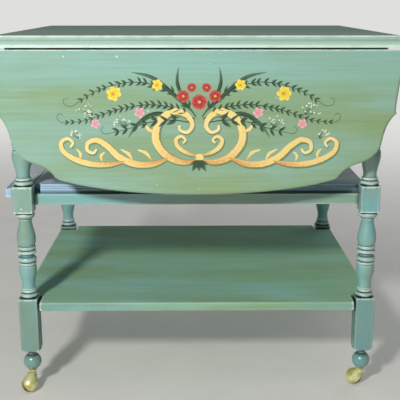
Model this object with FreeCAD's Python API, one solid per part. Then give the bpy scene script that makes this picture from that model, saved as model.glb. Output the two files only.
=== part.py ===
import FreeCAD, Part
import math
import os

# Drop-leaf rolling table: two hinged leaves, turned legs, a pull-out tray, a lower shelf, ball casters.
# X runs along the table, Y from the front (-Y) to the back, Z up. Lengths are in millimetres.

# Table as a whole.
TABLE_HEIGHT = 740.0
TABLE_HALF_WIDTH = 351.0
TOP_THICKNESS = 22.0
TOP_HALF_LENGTH = 399.0
LEG_INSET_X = 50.5
LEG_INSET_Y = 71.2
LEG_SQUARE = 38.4
SMALL_GAP = 0.1
CUT_OVERRUN = 2.0
SAME_POINT = 0.001
FULL_TURN = 360.0
RIGHT_ANGLE = 90.0
HALF_RIGHT_ANGLE = 45.0
HALF_SHARE = 0.5

# Legs: the squares keep their lengths, and the turnings between them share the rest of the height.
UPPER_SQUARE_HEIGHT = 96.0
MIDDLE_SQUARE_HEIGHT = 54.5
LOWER_SQUARE_HEIGHT = 115.5
LOWER_TURNING_SHARE = 0.50414
SQUARE_EDGE_EASE = 1.4
SHOULDER_HEIGHT = 3.2
SHOULDER_RADIUS = 23.5
LOWER_SHOULDER_HEIGHT = 5.5
LOWER_SHOULDER_RADIUS = 20.0
TURNING_OVERLAP = 3.0
TURNING_CORE_RADIUS = 10.0
BEAD_SINK_SHARE = 0.36

# Turnings from the bottom up: rings are (height, radius); a vase is its heights, then its radii.
LOWER_TURNING = {
    "base rings": ((10.5, 18.2), (7.5, 15.9)),
    "vase": ((0.0, 9.5, 16.5, 23.5, 31.0, 41.0, 49.5), (14.6, 13.4, 13.9, 15.6, 17.6, 18.5, 17.2)),
    "collar": ((7.5, 18.3), (10.5, 19.2)),
    "neck": (5.8, 13.6),
    "upper collar": ((8.0, 18.8), (8.8, 18.4)),
    "baluster": ((0.0, 3.0, 9.0, 18.5, 28.0, 38.0, 47.5, 52.0),
                 (16.2, 17.7, 18.9, 19.0, 17.4, 14.8, 12.9, 12.6)),
    "top bead": (4.2, 13.9),
    "cap": ((0.0, 2.5, 5.5, 8.0, 10.0), (15.4, 18.0, 19.6, 19.9, 18.6)),
    "cap groove": (2.2, 16.6),
}
UPPER_TURNING = {
    "base rings": ((10.5, 19.0), (6.0, 16.5)),
    "vase": ((0.0, 6.5, 25.0, 43.0, 55.0), (13.8, 13.4, 16.8, 20.0, 18.4)),
    "collar": ((7.5, 18.3), (10.5, 19.2)),
    "neck": (5.8, 13.8),
    "upper collar": ((8.0, 18.8),),
    "baluster": ((0.0, 3.4, 10.4, 21.2, 32.2, 43.8, 54.6, 59.8),
                 (16.2, 17.7, 18.9, 19.0, 17.4, 14.8, 12.9, 12.6)),
    "top bead": (4.2, 13.9),
    "cap": ((0.0, 2.5, 5.5, 8.0, 10.0), (15.4, 18.0, 19.6, 19.9, 18.6)),
    "cap groove": (2.2, 16.6),
}

FOOT_CENTRE_HEIGHT = 62.0
FOOT_RADIUS = 18.6
FOOT_FLAT_HEIGHT = 45.5
FOOT_NECK_RADIUS = 8.6
FOOT_NECK_BOTTOM = 78.6
FOOT_NECK_TOP = 84.5
FOOT_COVE_HEIGHT = 5.5

# Top panel and rule joint.
HINGE_PIN_INSET = 1.6
RULE_RADIUS = 14.6
RULE_CLEARANCE = 1.0
LEAF_JOINT_GAP = 1.6
TOP_ARRIS = 2.6
QUIRK_TOP = 4.0
QUIRK_HEIGHT = 1.3
QUIRK_DEPTH = 1.3
BARREL_RECESS_RADIUS = 3.3
BARREL_RECESS_END_GAP = 1.0

# Leaves: half outline of the hanging leaf, as shares of its half length and of its drop.
LEAF_END_INSET = 2.0
LEAF_DROP = 276.9
LEAF_SIDE_X_SHARES = (0.9798, 0.9647, 0.9552, 0.9511, 0.9501)
LEAF_SIDE_DROP_SHARES = (0.0917, 0.2001, 0.3156, 0.377, 0.4131)
LEAF_UPPER_CUSP_SHARES = (0.9547, 0.4312)
LEAF_SWEEP_X_SHARES = (0.9194, 0.8967, 0.8816, 0.8652, 0.8212, 0.7531, 0.704, 0.6872)
LEAF_SWEEP_DROP_SHARES = (0.4944, 0.5847, 0.6714, 0.7093, 0.7588, 0.796, 0.8465, 0.8772)
LEAF_LOWER_CUSP_SHARES = (0.67, 0.8949)
LEAF_BELLY_X_SHARES = (0.5995, 0.4534, 0.2771, 0.1134, 0.0)
LEAF_BELLY_DROP_SHARES = (0.9216, 0.9592, 0.9863, 0.9982, 1.0)
LEAF_FACE_ROUND = 5.5
LEAF_BACK_ROUND = 1.5
LEAF_TOP_ARRIS = 2.6

# Aprons and rails.
APRON_THICKNESS = 19.0
APRON_HEIGHT = 92.0
APRON_SETBACK = 5.0
APRON_TENON_THICKNESS = 9.0
APRON_TENON_LENGTH = 17.0
APRON_TENON_SHOULDER = 10.0
RAIL_SETBACK = 26.0
RAIL_THICKNESS = 19.0
END_RAIL_SETBACK = 9.7
RAIL_RISE = 12.4
RAIL_HEIGHT = 22.0
RAIL_EDGE_EASE = 1.0
RAIL_TENON_THICKNESS = 7.0
RAIL_TENON_LENGTH = 17.0
RAIL_TENON_HEIGHT = 8.0
RAIL_TENON_FACE_INSET = 2.0
RAIL_TENON_EDGE_INSET = 2.0
RUNNER_WIDTH = 16.0
RUNNER_HEIGHT = 16.0
CORNER_BLOCK_LEG = 46.0
CORNER_BLOCK_CLEAR = 1.5
CORNER_BLOCK_HEIGHT = 60.0
BLOCK_SCREW_INSET = 15.0
BLOCK_SCREW_RADIUS = 2.2
BLOCK_SCREW_HEAD_RADIUS = 4.4
BLOCK_SCREW_HEAD_HEIGHT = 3.0
BLOCK_SCREW_REACH = 14.0

# Pull-out tray.
TRAY_LEG_GAP = 1.2
TRAY_BOTTOM_BAND = 8.4
TRAY_MIDDLE_BAND = 3.8
TRAY_TOP_BAND = 4.3
TRAY_STEP = 2.4
TRAY_SMALL_RADIUS = 2.0
TRAY_END_INSET = 22.7
TRAY_JOINT_OFFSET = 6.7
TRAY_JOINT_GAP = 1.6
TRAY_NOTCH_MARGIN = 10.3
TRAY_NOTCH_DEPTH = 17.0
CLEAT_LAP_THICKNESS = 14.9
CLEAT_END_INSET = 7.0
CLEAT_HEIGHT = 18.0
CLEAT_LEG_GAP = 0.9
CLEAT_ROUND = 3.0
CLEAT_BEAD_INSET = 4.6
CLEAT_BEAD_DEPTH = 1.2
CLEAT_BEAD_WIDTH = 1.4
CLEAT_TONGUE_LENGTH = 9.0
CLEAT_TONGUE_HEIGHT = 5.5
CLEAT_TONGUE_END_INSET = 30.0
TRAY_TRAVEL = 300.0
TRAY_STOP_THICKNESS = 18.0
TRAY_STOP_HEIGHT = 12.0
TRAY_STOP_END_INSET = 49.4
TRAY_STOP_GAP = 1.0

# Lower shelf.
SHELF_DROP = 7.5
SHELF_THICKNESS = 18.0
SHELF_LEG_GAP = 5.0
SHELF_EDGE_ROUND = 2.2
BEARER_WIDTH = 20.0
BEARER_HEIGHT = 13.0
BEARER_INSET = 4.0
SHELF_SCREW_RADIUS = 1.9
SHELF_SCREW_HEAD_RADIUS = 3.8
SHELF_SCREW_HEAD_HEIGHT = 2.4
SHELF_SCREW_LENGTH = 25.0
SHELF_SCREW_Y_SHARES = (-0.68, 0.0, 0.68)

# Rule-joint hinges.
HINGE_X_SHARES = (-0.6566, 0.0, 0.6566)
HINGE_WIDTH = 38.0
HINGE_FLAP_THICKNESS = 1.5
HINGE_TOP_FLAP_LENGTH = 31.0
HINGE_LEAF_FLAP_LENGTH = 58.0
HINGE_BARREL_RADIUS = 2.5
HINGE_PIN_RADIUS = 1.25
HINGE_PIN_FIT = 0.05
HINGE_MIDDLE_KNUCKLE = 13.6
HINGE_KNUCKLE_GAP = 0.2
HINGE_CORNER_RADIUS = 3.0
HINGE_SCREW_RADIUS = 1.5
HINGE_SCREW_HEAD_RADIUS = 2.9
HINGE_SCREW_REACH = 12.0
HINGE_SCREW_HEAD_HEIGHT = 1.5
HINGE_TOP_SCREW_PLACES = ((-11.0, 12.0), (11.0, 12.0), (0.0, 24.0))
HINGE_LEAF_SCREW_PLACES = ((-11.0, 30.0), (11.0, 30.0), (0.0, 50.0))
KNUCKLE_CLEARANCE = 0.4

# Folding stays that hold a raised leaf.
STAY_X_SHARE = 0.376
STAY_LAYERS = 4
STAY_PIVOT_DROP = 80.0
STAY_PIVOT_INSET = 12.0
STAY_PLATE = 2.4
STAY_WIDTH = 12.0
STAY_SIDE_GAP = 0.4
STAY_RIVET_RADIUS = 2.4
STAY_RIVET_FIT = 0.05
STAY_RIVET_HEAD_RADIUS = 4.2
STAY_RIVET_HEAD_HEIGHT = 1.4
STAY_FOOT_WIDTH = 22.0
STAY_FOOT_THICKNESS = 2.0
STAY_FOOT_UP = 50.0
STAY_FOOT_DOWN = 4.0
LEAF_FOOT_HALF_HEIGHT = 24.0

# Ball casters.
WHEEL_RADIUS = 16.0
HOOD_RADIUS = 17.6
HOOD_CLEARANCE = 0.7
HOOD_RIM_OFFSET = 0.8
HOOD_CUT_SIZE = 60.0
WHEEL_FACE_OFFSET = 0.6
WHEEL_FLAT_OFFSET = 13.6
AXLE_TILT = 38.0
AXLE_RADIUS = 2.4
AXLE_FIT = 0.05
AXLE_BURIED = 1.2
AXLE_BOSS_RADIUS = 5.0
CASTER_TRAIL = 18.0
SWIVEL_NECK_RADIUS = 6.6
SWIVEL_NECK_DROP = 4.2
SWIVEL_COLLAR_RADIUS = 8.2
SWIVEL_COLLAR_HEIGHT = 3.0
SOCKET_FLANGE_HEIGHT = 1.5
SOCKET_FLANGE_RADIUS = 8.8
SOCKET_OUTER_RADIUS = 5.6
SOCKET_LENGTH = 40.0
SOCKET_END_WALL = 1.2
STEM_RADIUS = 3.9
STEM_FIT = 0.06
STEM_END_GAP = 1.5
CASTER_TURN = {"fl": -19.5, "fr": 211.0, "rl": 150.0, "rr": 38.0}
CASTER_HOOD_SIDE = {"fl": 1, "fr": 1, "rl": 1, "rr": -1}

# Values that follow from those above.
LEG_CENTRE_X = TOP_HALF_LENGTH - LEG_INSET_X
LEG_CENTRE_Y = TABLE_HALF_WIDTH - LEG_INSET_Y
LEG_HALF = LEG_SQUARE / 2
LEG_INNER_X = LEG_CENTRE_X - LEG_HALF
LEG_OUTER_X = LEG_CENTRE_X + LEG_HALF
LEG_INNER_Y = LEG_CENTRE_Y - LEG_HALF
LEG_OUTER_Y = LEG_CENTRE_Y + LEG_HALF
TOP_UNDERSIDE = TABLE_HEIGHT - TOP_THICKNESS
UPPER_SQUARE_BOTTOM = TOP_UNDERSIDE - UPPER_SQUARE_HEIGHT
LOWER_SQUARE_BOTTOM = FOOT_NECK_TOP + FOOT_COVE_HEIGHT
LOWER_SQUARE_TOP = LOWER_SQUARE_BOTTOM + LOWER_SQUARE_HEIGHT
TURNED_LENGTH = UPPER_SQUARE_BOTTOM - LOWER_SQUARE_TOP - MIDDLE_SQUARE_HEIGHT
MIDDLE_SQUARE_BOTTOM = LOWER_SQUARE_TOP + TURNED_LENGTH * LOWER_TURNING_SHARE
MIDDLE_SQUARE_TOP = MIDDLE_SQUARE_BOTTOM + MIDDLE_SQUARE_HEIGHT
APRON_BOTTOM = TOP_UNDERSIDE - APRON_HEIGHT
LEAF_BACK_Y = TABLE_HALF_WIDTH - TOP_THICKNESS
LEAF_MIDDLE_Y = TABLE_HALF_WIDTH - TOP_THICKNESS / 2
LEAF_HALF_LENGTH = TOP_HALF_LENGTH - LEAF_END_INSET
PIN_Y = LEAF_BACK_Y - HINGE_PIN_INSET
PIN_Z = TOP_UNDERSIDE - HINGE_PIN_INSET
LEAF_TOP = PIN_Z - LEAF_JOINT_GAP
HINGE_X = [TOP_HALF_LENGTH * share for share in HINGE_X_SHARES]
RAIL_BOTTOM = MIDDLE_SQUARE_BOTTOM + RAIL_RISE
RAIL_TOP = RAIL_BOTTOM + RAIL_HEIGHT
END_RAIL_INNER_X = LEG_OUTER_X - END_RAIL_SETBACK - RAIL_THICKNESS
TRAY_BOTTOM = RAIL_TOP + SMALL_GAP
TRAY_THICKNESS = TRAY_BOTTOM_BAND + TRAY_MIDDLE_BAND + TRAY_TOP_BAND
TRAY_TOP = TRAY_BOTTOM + TRAY_THICKNESS
TRAY_HALF_WIDTH = LEG_INNER_Y - TRAY_LEG_GAP
TRAY_RIGHT_END = LEG_OUTER_X - TRAY_END_INSET
TRAY_JOINT_X = LEG_INNER_X + TRAY_JOINT_OFFSET
CLEAT_INNER_X = LEG_OUTER_X + CLEAT_LEG_GAP
CLEAT_OUTER_X = CLEAT_INNER_X + CLEAT_LAP_THICKNESS
CLEAT_HALF_WIDTH = LEG_OUTER_Y - CLEAT_END_INSET
SHELF_TOP = LOWER_SQUARE_TOP - SHELF_DROP
SHELF_BOTTOM = SHELF_TOP - SHELF_THICKNESS
STAY_X = TOP_HALF_LENGTH * STAY_X_SHARE
STAY_PIVOT_Y = PIN_Y - STAY_PIVOT_INSET
STAY_PIVOT_Z = PIN_Z - STAY_PIVOT_DROP
STAY_LINK = math.hypot(STAY_PIVOT_DROP, STAY_PIVOT_INSET) / math.sqrt(2)
SOCKET_FLANGE_BOTTOM = FOOT_FLAT_HEIGHT - SOCKET_FLANGE_HEIGHT
X_AXIS = FreeCAD.Vector(1, 0, 0)
Y_AXIS = FreeCAD.Vector(0, 1, 0)
Z_AXIS = FreeCAD.Vector(0, 0, 1)
ORIGIN = FreeCAD.Vector(0, 0, 0)
CORNERS = {"fl": (-1, -1), "fr": (1, -1), "rl": (-1, 1), "rr": (1, 1)}


def vec(x, y, z):
    return FreeCAD.Vector(x, y, z)


def block(x0, x1, y0, y1, z0, z1):
    """A box between two corners."""
    return Part.makeBox(x1 - x0, y1 - y0, z1 - z0, vec(x0, y0, z0))


def rod(radius, length, base, direction=Z_AXIS):
    return Part.makeCylinder(radius, length, base, direction)


def mirrored(shape, sx, sy):
    """The same piece at another corner of the table; the model corner is +X, +Y."""
    if sx < 0:
        shape = shape.mirror(ORIGIN, X_AXIS)
    if sy < 0:
        shape = shape.mirror(ORIGIN, Y_AXIS)
    return shape


def solid_of(shape):
    """One clean solid from a boolean result."""
    shape = shape.removeSplitter()
    if len(shape.Solids) == 1:
        return shape.Solids[0]
    return shape


def prism(points, direction):
    """Straight extrusion of a closed polygon."""
    wire = Part.makePolygon(list(points) + [points[0]])
    return Part.Face(wire).extrude(direction)


# Legs.
class Turning:
    """Outline of a turned section in the XZ plane, built from the bottom up, then revolved."""

    def __init__(self, radius, z):
        self.start = vec(0, 0, z)
        self.at = self.start
        self.edges = []
        self.step_to(radius, z)

    def step_to(self, radius, z):
        end = vec(radius, 0, z)
        if not end.isEqual(self.at, SAME_POINT):
            self.edges.append(Part.LineSegment(self.at, end).toShape())
            self.at = end

    def arc(self, height, radius, end_radius):
        middle = vec(radius, 0, self.at.z + height / 2)
        end = vec(end_radius, 0, self.at.z + height)
        self.edges.append(Part.Arc(self.at, middle, end).toShape())
        self.at = end

    def beads(self, rings, stretch):
        for height, radius in rings:
            sunk = radius - height * BEAD_SINK_SHARE
            self.step_to(sunk, self.at.z)
            self.arc(height * stretch, radius, sunk)

    def neck(self, ring, stretch):
        height, radius = ring
        flared = radius + height * BEAD_SINK_SHARE
        self.step_to(flared, self.at.z)
        self.arc(height * stretch, radius, flared)

    def curve(self, form, stretch):
        heights, radii = form
        base = self.at.z
        self.step_to(radii[0], base)
        spline = Part.BSplineCurve()
        spline.interpolate([vec(r, 0, base + h * stretch) for h, r in zip(heights, radii)])
        self.edges.append(spline.toShape())
        self.at = vec(radii[-1], 0, base + heights[-1] * stretch)

    def solid(self):
        self.step_to(0, self.at.z)
        self.step_to(0, self.start.z)
        return Part.Face(Part.Wire(self.edges)).revolve(ORIGIN, Z_AXIS, FULL_TURN)


def leg_square(z0, z1, top_shoulder, bottom_shoulder):
    """A square length of the leg whose corners roll over into the turnings at each end."""
    square = block(-LEG_HALF, LEG_HALF, -LEG_HALF, LEG_HALF, z0, z1)
    upright = [e for e in square.Edges if abs(e.Vertexes[0].Z - e.Vertexes[1].Z) > LEG_HALF]
    square = square.makeChamfer(SQUARE_EDGE_EASE, upright)
    reach = LEG_SQUARE
    turned = Turning(reach, z0)
    if bottom_shoulder:
        height, radius = bottom_shoulder
        turned = Turning(radius, z0)
        turned.arc(height, (radius + reach) / 2 + height / 2, reach)
    turned.step_to(reach, z1 - (top_shoulder[0] if top_shoulder else 0))
    if top_shoulder:
        height, radius = top_shoulder
        turned.arc(height, (radius + reach) / 2 + height / 2, radius)
    return square.common(turned.solid())


def turned_length(z0, z1, form):
    """Rings, vase, collars, baluster, bead and cap between two squares, stretched to fill the space."""
    rings = form["base rings"] + form["collar"] + form["upper collar"]
    rings += (form["neck"], form["top bead"], form["cap groove"])
    drawn = sum(height for height, radius in rings)
    drawn += sum(form[part][0][-1] for part in ("vase", "baluster", "cap"))
    stretch = (z1 - z0) / drawn
    turned = Turning(TURNING_CORE_RADIUS, z0 - TURNING_OVERLAP)
    turned.step_to(TURNING_CORE_RADIUS, z0)
    turned.beads(form["base rings"], stretch)
    turned.curve(form["vase"], stretch)
    turned.beads(form["collar"], stretch)
    turned.neck(form["neck"], stretch)
    turned.beads(form["upper collar"], stretch)
    turned.curve(form["baluster"], stretch)
    turned.beads([form["top bead"]], stretch)
    turned.curve(form["cap"], stretch)
    height, radius = form["cap groove"]
    turned.step_to(radius, turned.at.z)
    turned.step_to(radius, turned.at.z + height * stretch)
    turned.step_to(TURNING_CORE_RADIUS, turned.at.z)
    turned.step_to(TURNING_CORE_RADIUS, turned.at.z + TURNING_OVERLAP)
    return turned.solid()


def foot_turning():
    """Ball foot with a narrow neck under the lower square."""
    turned = Turning(math.sqrt(FOOT_RADIUS ** 2 - (FOOT_CENTRE_HEIGHT - FOOT_FLAT_HEIGHT) ** 2),
                     FOOT_FLAT_HEIGHT)
    end_radius = math.sqrt(FOOT_RADIUS ** 2 - (FOOT_NECK_BOTTOM - FOOT_CENTRE_HEIGHT) ** 2)
    end = vec(end_radius, 0, FOOT_NECK_BOTTOM)
    ball = Part.Arc(turned.at, vec(FOOT_RADIUS, 0, FOOT_CENTRE_HEIGHT), end)
    turned.edges.append(ball.toShape())
    turned.at = end
    turned.step_to(FOOT_NECK_RADIUS, FOOT_NECK_BOTTOM)
    turned.step_to(FOOT_NECK_RADIUS, FOOT_NECK_TOP)
    turned.curve(((0, FOOT_COVE_HEIGHT), (FOOT_NECK_RADIUS, LOWER_SHOULDER_RADIUS)), 1)
    turned.step_to(TURNING_CORE_RADIUS, turned.at.z)
    turned.step_to(TURNING_CORE_RADIUS, turned.at.z + TURNING_OVERLAP)
    return turned.solid()


def leg_at_origin():
    shoulder = (SHOULDER_HEIGHT, SHOULDER_RADIUS)
    lower_shoulder = (LOWER_SHOULDER_HEIGHT, LOWER_SHOULDER_RADIUS)
    leg = leg_square(UPPER_SQUARE_BOTTOM, TOP_UNDERSIDE, None, shoulder)
    leg = leg.fuse([
        leg_square(MIDDLE_SQUARE_BOTTOM, MIDDLE_SQUARE_TOP, shoulder, shoulder),
        leg_square(LOWER_SQUARE_BOTTOM, LOWER_SQUARE_TOP, shoulder, lower_shoulder),
        turned_length(LOWER_SQUARE_TOP, MIDDLE_SQUARE_BOTTOM, LOWER_TURNING),
        turned_length(MIDDLE_SQUARE_TOP, UPPER_SQUARE_BOTTOM, UPPER_TURNING),
        foot_turning(),
    ])
    bore = rod(SOCKET_OUTER_RADIUS, SOCKET_LENGTH, vec(0, 0, SOCKET_FLANGE_BOTTOM))
    return leg.cut(bore)


def leg(sx, sy):
    """A leg with its mortises for the aprons and the tray rails."""
    shape = leg_at_origin()
    shape.translate(vec(LEG_CENTRE_X, LEG_CENTRE_Y, 0))
    shape = shape.cut([long_apron_tenon(), end_apron_tenon(), long_rail_tenon(), end_rail_tenon()])
    return mirrored(solid_of(shape), sx, sy)


# Aprons and rails, drawn for the +X, +Y corner and mirrored.
def long_apron_tenon():
    y1 = LEG_OUTER_Y - APRON_SETBACK - (APRON_THICKNESS - APRON_TENON_THICKNESS) / 2
    return block(LEG_INNER_X - CUT_OVERRUN, LEG_INNER_X + APRON_TENON_LENGTH,
                 y1 - APRON_TENON_THICKNESS, y1,
                 APRON_BOTTOM + APRON_TENON_SHOULDER, TOP_UNDERSIDE - APRON_TENON_SHOULDER)


def end_apron_tenon():
    x1 = LEG_OUTER_X - APRON_SETBACK - (APRON_THICKNESS - APRON_TENON_THICKNESS) / 2
    return block(x1 - APRON_TENON_THICKNESS, x1,
                 LEG_INNER_Y - CUT_OVERRUN, LEG_INNER_Y + APRON_TENON_LENGTH,
                 APRON_BOTTOM + APRON_TENON_SHOULDER, TOP_UNDERSIDE - APRON_TENON_SHOULDER)


def long_rail_tenon():
    y1 = LEG_OUTER_Y - RAIL_SETBACK - RAIL_TENON_FACE_INSET
    z0 = RAIL_BOTTOM + RAIL_TENON_EDGE_INSET
    return block(LEG_INNER_X - CUT_OVERRUN, LEG_INNER_X + RAIL_TENON_LENGTH,
                 y1 - RAIL_TENON_THICKNESS, y1, z0, z0 + RAIL_TENON_HEIGHT)


def end_rail_tenon():
    x1 = LEG_OUTER_X - END_RAIL_SETBACK - RAIL_TENON_FACE_INSET
    z1 = RAIL_TOP - RAIL_TENON_EDGE_INSET
    return block(x1 - RAIL_TENON_THICKNESS, x1,
                 LEG_INNER_Y - CUT_OVERRUN, LEG_INNER_Y + RAIL_TENON_LENGTH,
                 z1 - RAIL_TENON_HEIGHT, z1)


def with_end_tenons(board, tenon, axis):
    return solid_of(board.fuse([tenon, tenon.mirror(ORIGIN, axis)]))


def apron_long(sy):
    y1 = LEG_OUTER_Y - APRON_SETBACK
    board = block(-LEG_INNER_X, LEG_INNER_X, y1 - APRON_THICKNESS, y1, APRON_BOTTOM, TOP_UNDERSIDE)
    return mirrored(with_end_tenons(board, long_apron_tenon(), X_AXIS), 1, sy)


def apron_end(sx):
    x1 = LEG_OUTER_X - APRON_SETBACK
    board = block(x1 - APRON_THICKNESS, x1, -LEG_INNER_Y, LEG_INNER_Y, APRON_BOTTOM, TOP_UNDERSIDE)
    return mirrored(with_end_tenons(board, end_apron_tenon(), Y_AXIS), sx, 1)


def eased(board, along, ease):
    """Rounds the long arrises of a rail; along is the index of its long direction."""
    edges = [e for e in board.Edges if abs(e.tangentAt(e.FirstParameter)[along]) > HALF_SHARE]
    return board.makeFillet(ease, edges)


def rail_long(sy):
    y1 = LEG_OUTER_Y - RAIL_SETBACK
    board = block(-LEG_INNER_X, LEG_INNER_X, y1 - RAIL_THICKNESS, y1, RAIL_BOTTOM, RAIL_TOP)
    board = eased(board, 0, RAIL_EDGE_EASE)
    return mirrored(with_end_tenons(board, long_rail_tenon(), X_AXIS), 1, sy)


def rail_end(sx):
    x0 = END_RAIL_INNER_X
    board = block(x0, x0 + RAIL_THICKNESS, -LEG_INNER_Y, LEG_INNER_Y, RAIL_BOTTOM, RAIL_TOP)
    board = eased(board, 1, RAIL_EDGE_EASE)
    return mirrored(with_end_tenons(board, end_rail_tenon(), Y_AXIS), sx, 1)


def tray_runners():
    """Cleats glued inside the long rails; the tray slides on them and on the rails."""
    y1 = LEG_OUTER_Y - RAIL_SETBACK - RAIL_THICKNESS
    x1 = END_RAIL_INNER_X
    runner = block(-x1, x1, y1 - RUNNER_WIDTH, y1, RAIL_TOP - RUNNER_HEIGHT, RAIL_TOP)
    return Part.Compound([runner, mirrored(runner, 1, -1)])


def corner_block():
    """Triangular glue block in the angle of two aprons, with the leg's corner cut away."""
    x1 = LEG_OUTER_X - APRON_SETBACK - APRON_THICKNESS
    y1 = LEG_OUTER_Y - APRON_SETBACK - APRON_THICKNESS
    z0 = TOP_UNDERSIDE - CORNER_BLOCK_HEIGHT
    shape = prism([
        vec(x1, y1, z0),
        vec(x1 - CORNER_BLOCK_LEG, y1, z0),
        vec(x1, y1 - CORNER_BLOCK_LEG, z0),
    ], vec(0, 0, CORNER_BLOCK_HEIGHT))
    leg_zone = block(LEG_INNER_X - CORNER_BLOCK_CLEAR, x1 + CUT_OVERRUN,
                     LEG_INNER_Y - CORNER_BLOCK_CLEAR, y1 + CUT_OVERRUN,
                     z0 - CUT_OVERRUN, TOP_UNDERSIDE + CUT_OVERRUN)
    shape = shape.cut(leg_zone)
    return solid_of(shape.cut(block_screw()))


def block_screw():
    """Wood screw driven up through a corner block into the top."""
    x = LEG_INNER_X - BLOCK_SCREW_INSET
    y = LEG_INNER_Y - BLOCK_SCREW_INSET
    z0 = TOP_UNDERSIDE - CORNER_BLOCK_HEIGHT
    shank = rod(BLOCK_SCREW_RADIUS, CORNER_BLOCK_HEIGHT + BLOCK_SCREW_REACH, vec(x, y, z0))
    head = Part.makeCone(BLOCK_SCREW_HEAD_RADIUS, BLOCK_SCREW_RADIUS, BLOCK_SCREW_HEAD_HEIGHT,
                         vec(x, y, z0))
    return solid_of(shank.fuse(head))


def at_each_corner(make):
    return Part.Compound([mirrored(make(), sx, sy) for sx, sy in CORNERS.values()])


# Top panel.
def moulded_edge(reach, side):
    """Edges of the moulded section: arris, quirk, fillet and the ovolo, which is round the pin."""
    def place(distance, z):
        return vec(0, side * distance, z)

    quirk_z = TABLE_HEIGHT - QUIRK_TOP
    bend = math.radians(HALF_RIGHT_ANGLE)
    ovolo_top = PIN_Z + RULE_RADIUS
    foot = reach + math.sqrt(RULE_RADIUS ** 2 - HINGE_PIN_INSET ** 2)
    arris_fall = TOP_ARRIS * (1 - math.cos(bend))
    arris = Part.Arc(place(reach - TOP_ARRIS, TABLE_HEIGHT),
                     place(reach - arris_fall, TABLE_HEIGHT - arris_fall),
                     place(reach, TABLE_HEIGHT - TOP_ARRIS))
    fillet = Part.makePolygon([
        place(reach, TABLE_HEIGHT - TOP_ARRIS),
        place(reach, quirk_z),
        place(reach - QUIRK_DEPTH, quirk_z),
        place(reach - QUIRK_DEPTH, quirk_z - QUIRK_HEIGHT),
        place(reach, quirk_z - QUIRK_HEIGHT),
        place(reach, ovolo_top),
    ])
    ovolo = Part.Arc(place(reach, ovolo_top),
                     place(reach + RULE_RADIUS * math.cos(bend), PIN_Z + RULE_RADIUS * math.sin(bend)),
                     place(foot, TOP_UNDERSIDE))
    return [arris.toShape()] + fillet.Edges + [ovolo.toShape()], reach - TOP_ARRIS, foot


def moulded_bar(reach, half_length):
    """The top's section, moulded on both sides, extruded along X."""
    right, flat, foot = moulded_edge(reach, 1)
    left = moulded_edge(reach, -1)[0]
    top = Part.LineSegment(vec(0, -flat, TABLE_HEIGHT), vec(0, flat, TABLE_HEIGHT)).toShape()
    bottom = Part.LineSegment(vec(0, -foot, TOP_UNDERSIDE), vec(0, foot, TOP_UNDERSIDE)).toShape()
    outline = Part.Wire(Part.__sortEdges__(right + left + [top, bottom]))
    bar = Part.Face(outline).extrude(vec(half_length * 2, 0, 0))
    bar.translate(vec(-half_length, 0, 0))
    return bar


def top_panel():
    """One board moulded all round; the long edges are the convex half of the rule joint."""
    long_bar = moulded_bar(PIN_Y, TOP_HALF_LENGTH + CUT_OVERRUN)
    end_bar = moulded_bar(TOP_HALF_LENGTH - RULE_RADIUS, TABLE_HALF_WIDTH)
    end_bar.rotate(ORIGIN, Z_AXIS, RIGHT_ANGLE)
    shape = long_bar.common(end_bar)
    cuts = [mirrored(block_screw(), sx, sy) for sx, sy in CORNERS.values()]
    for side in (-1, 1):
        cuts.append(hinge_top_screws(side))
        for x in HINGE_X:
            length = HINGE_WIDTH + BARREL_RECESS_END_GAP * 2
            base = vec(x - length / 2, side * PIN_Y, PIN_Z)
            cuts.append(rod(BARREL_RECESS_RADIUS, length, base, X_AXIS))
    return solid_of(shape.cut(cuts))


# Leaves, drawn at the back (+Y) hanging down, and mirrored to the front.
def curve_through(points, y):
    spline = Part.BSplineCurve()
    spline.interpolate([vec(x, y, z) for x, z in points])
    return spline.toShape()


def line_between(start, end, y):
    return Part.LineSegment(vec(start[0], y, start[1]), vec(end[0], y, end[1])).toShape()


def on_leaf(x_share, drop_share):
    return LEAF_HALF_LENGTH * x_share, LEAF_TOP - LEAF_DROP * drop_share


def points_on_leaf(x_shares, drop_shares):
    return [on_leaf(x, drop) for x, drop in zip(x_shares, drop_shares)]


def leaf_outline(y):
    """Closed outline of the hanging leaf: straight top, hollow sides, cusps, swept corners, belly."""
    corner = on_leaf(1, 0)
    upper_cusp = on_leaf(*LEAF_UPPER_CUSP_SHARES)
    lower_cusp = on_leaf(*LEAF_LOWER_CUSP_SHARES)
    side_curve = [corner] + points_on_leaf(LEAF_SIDE_X_SHARES, LEAF_SIDE_DROP_SHARES)
    sweep = [upper_cusp] + points_on_leaf(LEAF_SWEEP_X_SHARES, LEAF_SWEEP_DROP_SHARES)
    belly = [lower_cusp] + points_on_leaf(LEAF_BELLY_X_SHARES, LEAF_BELLY_DROP_SHARES)
    belly += [(-x, z) for x, z in reversed(belly[:-1])]
    edges = [line_between((-corner[0], corner[1]), corner, y), curve_through(belly, y)]
    for side in (-1, 1):
        placed_side = [(side * x, z) for x, z in side_curve]
        placed_sweep = [(side * x, z) for x, z in sweep]
        edges.append(curve_through(placed_side, y))
        edges.append(line_between(placed_side[-1], placed_sweep[0], y))
        edges.append(curve_through(placed_sweep, y))
        edges.append(line_between(placed_sweep[-1], (side * lower_cusp[0], lower_cusp[1]), y))
    return Part.Wire(Part.__sortEdges__(edges))


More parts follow.
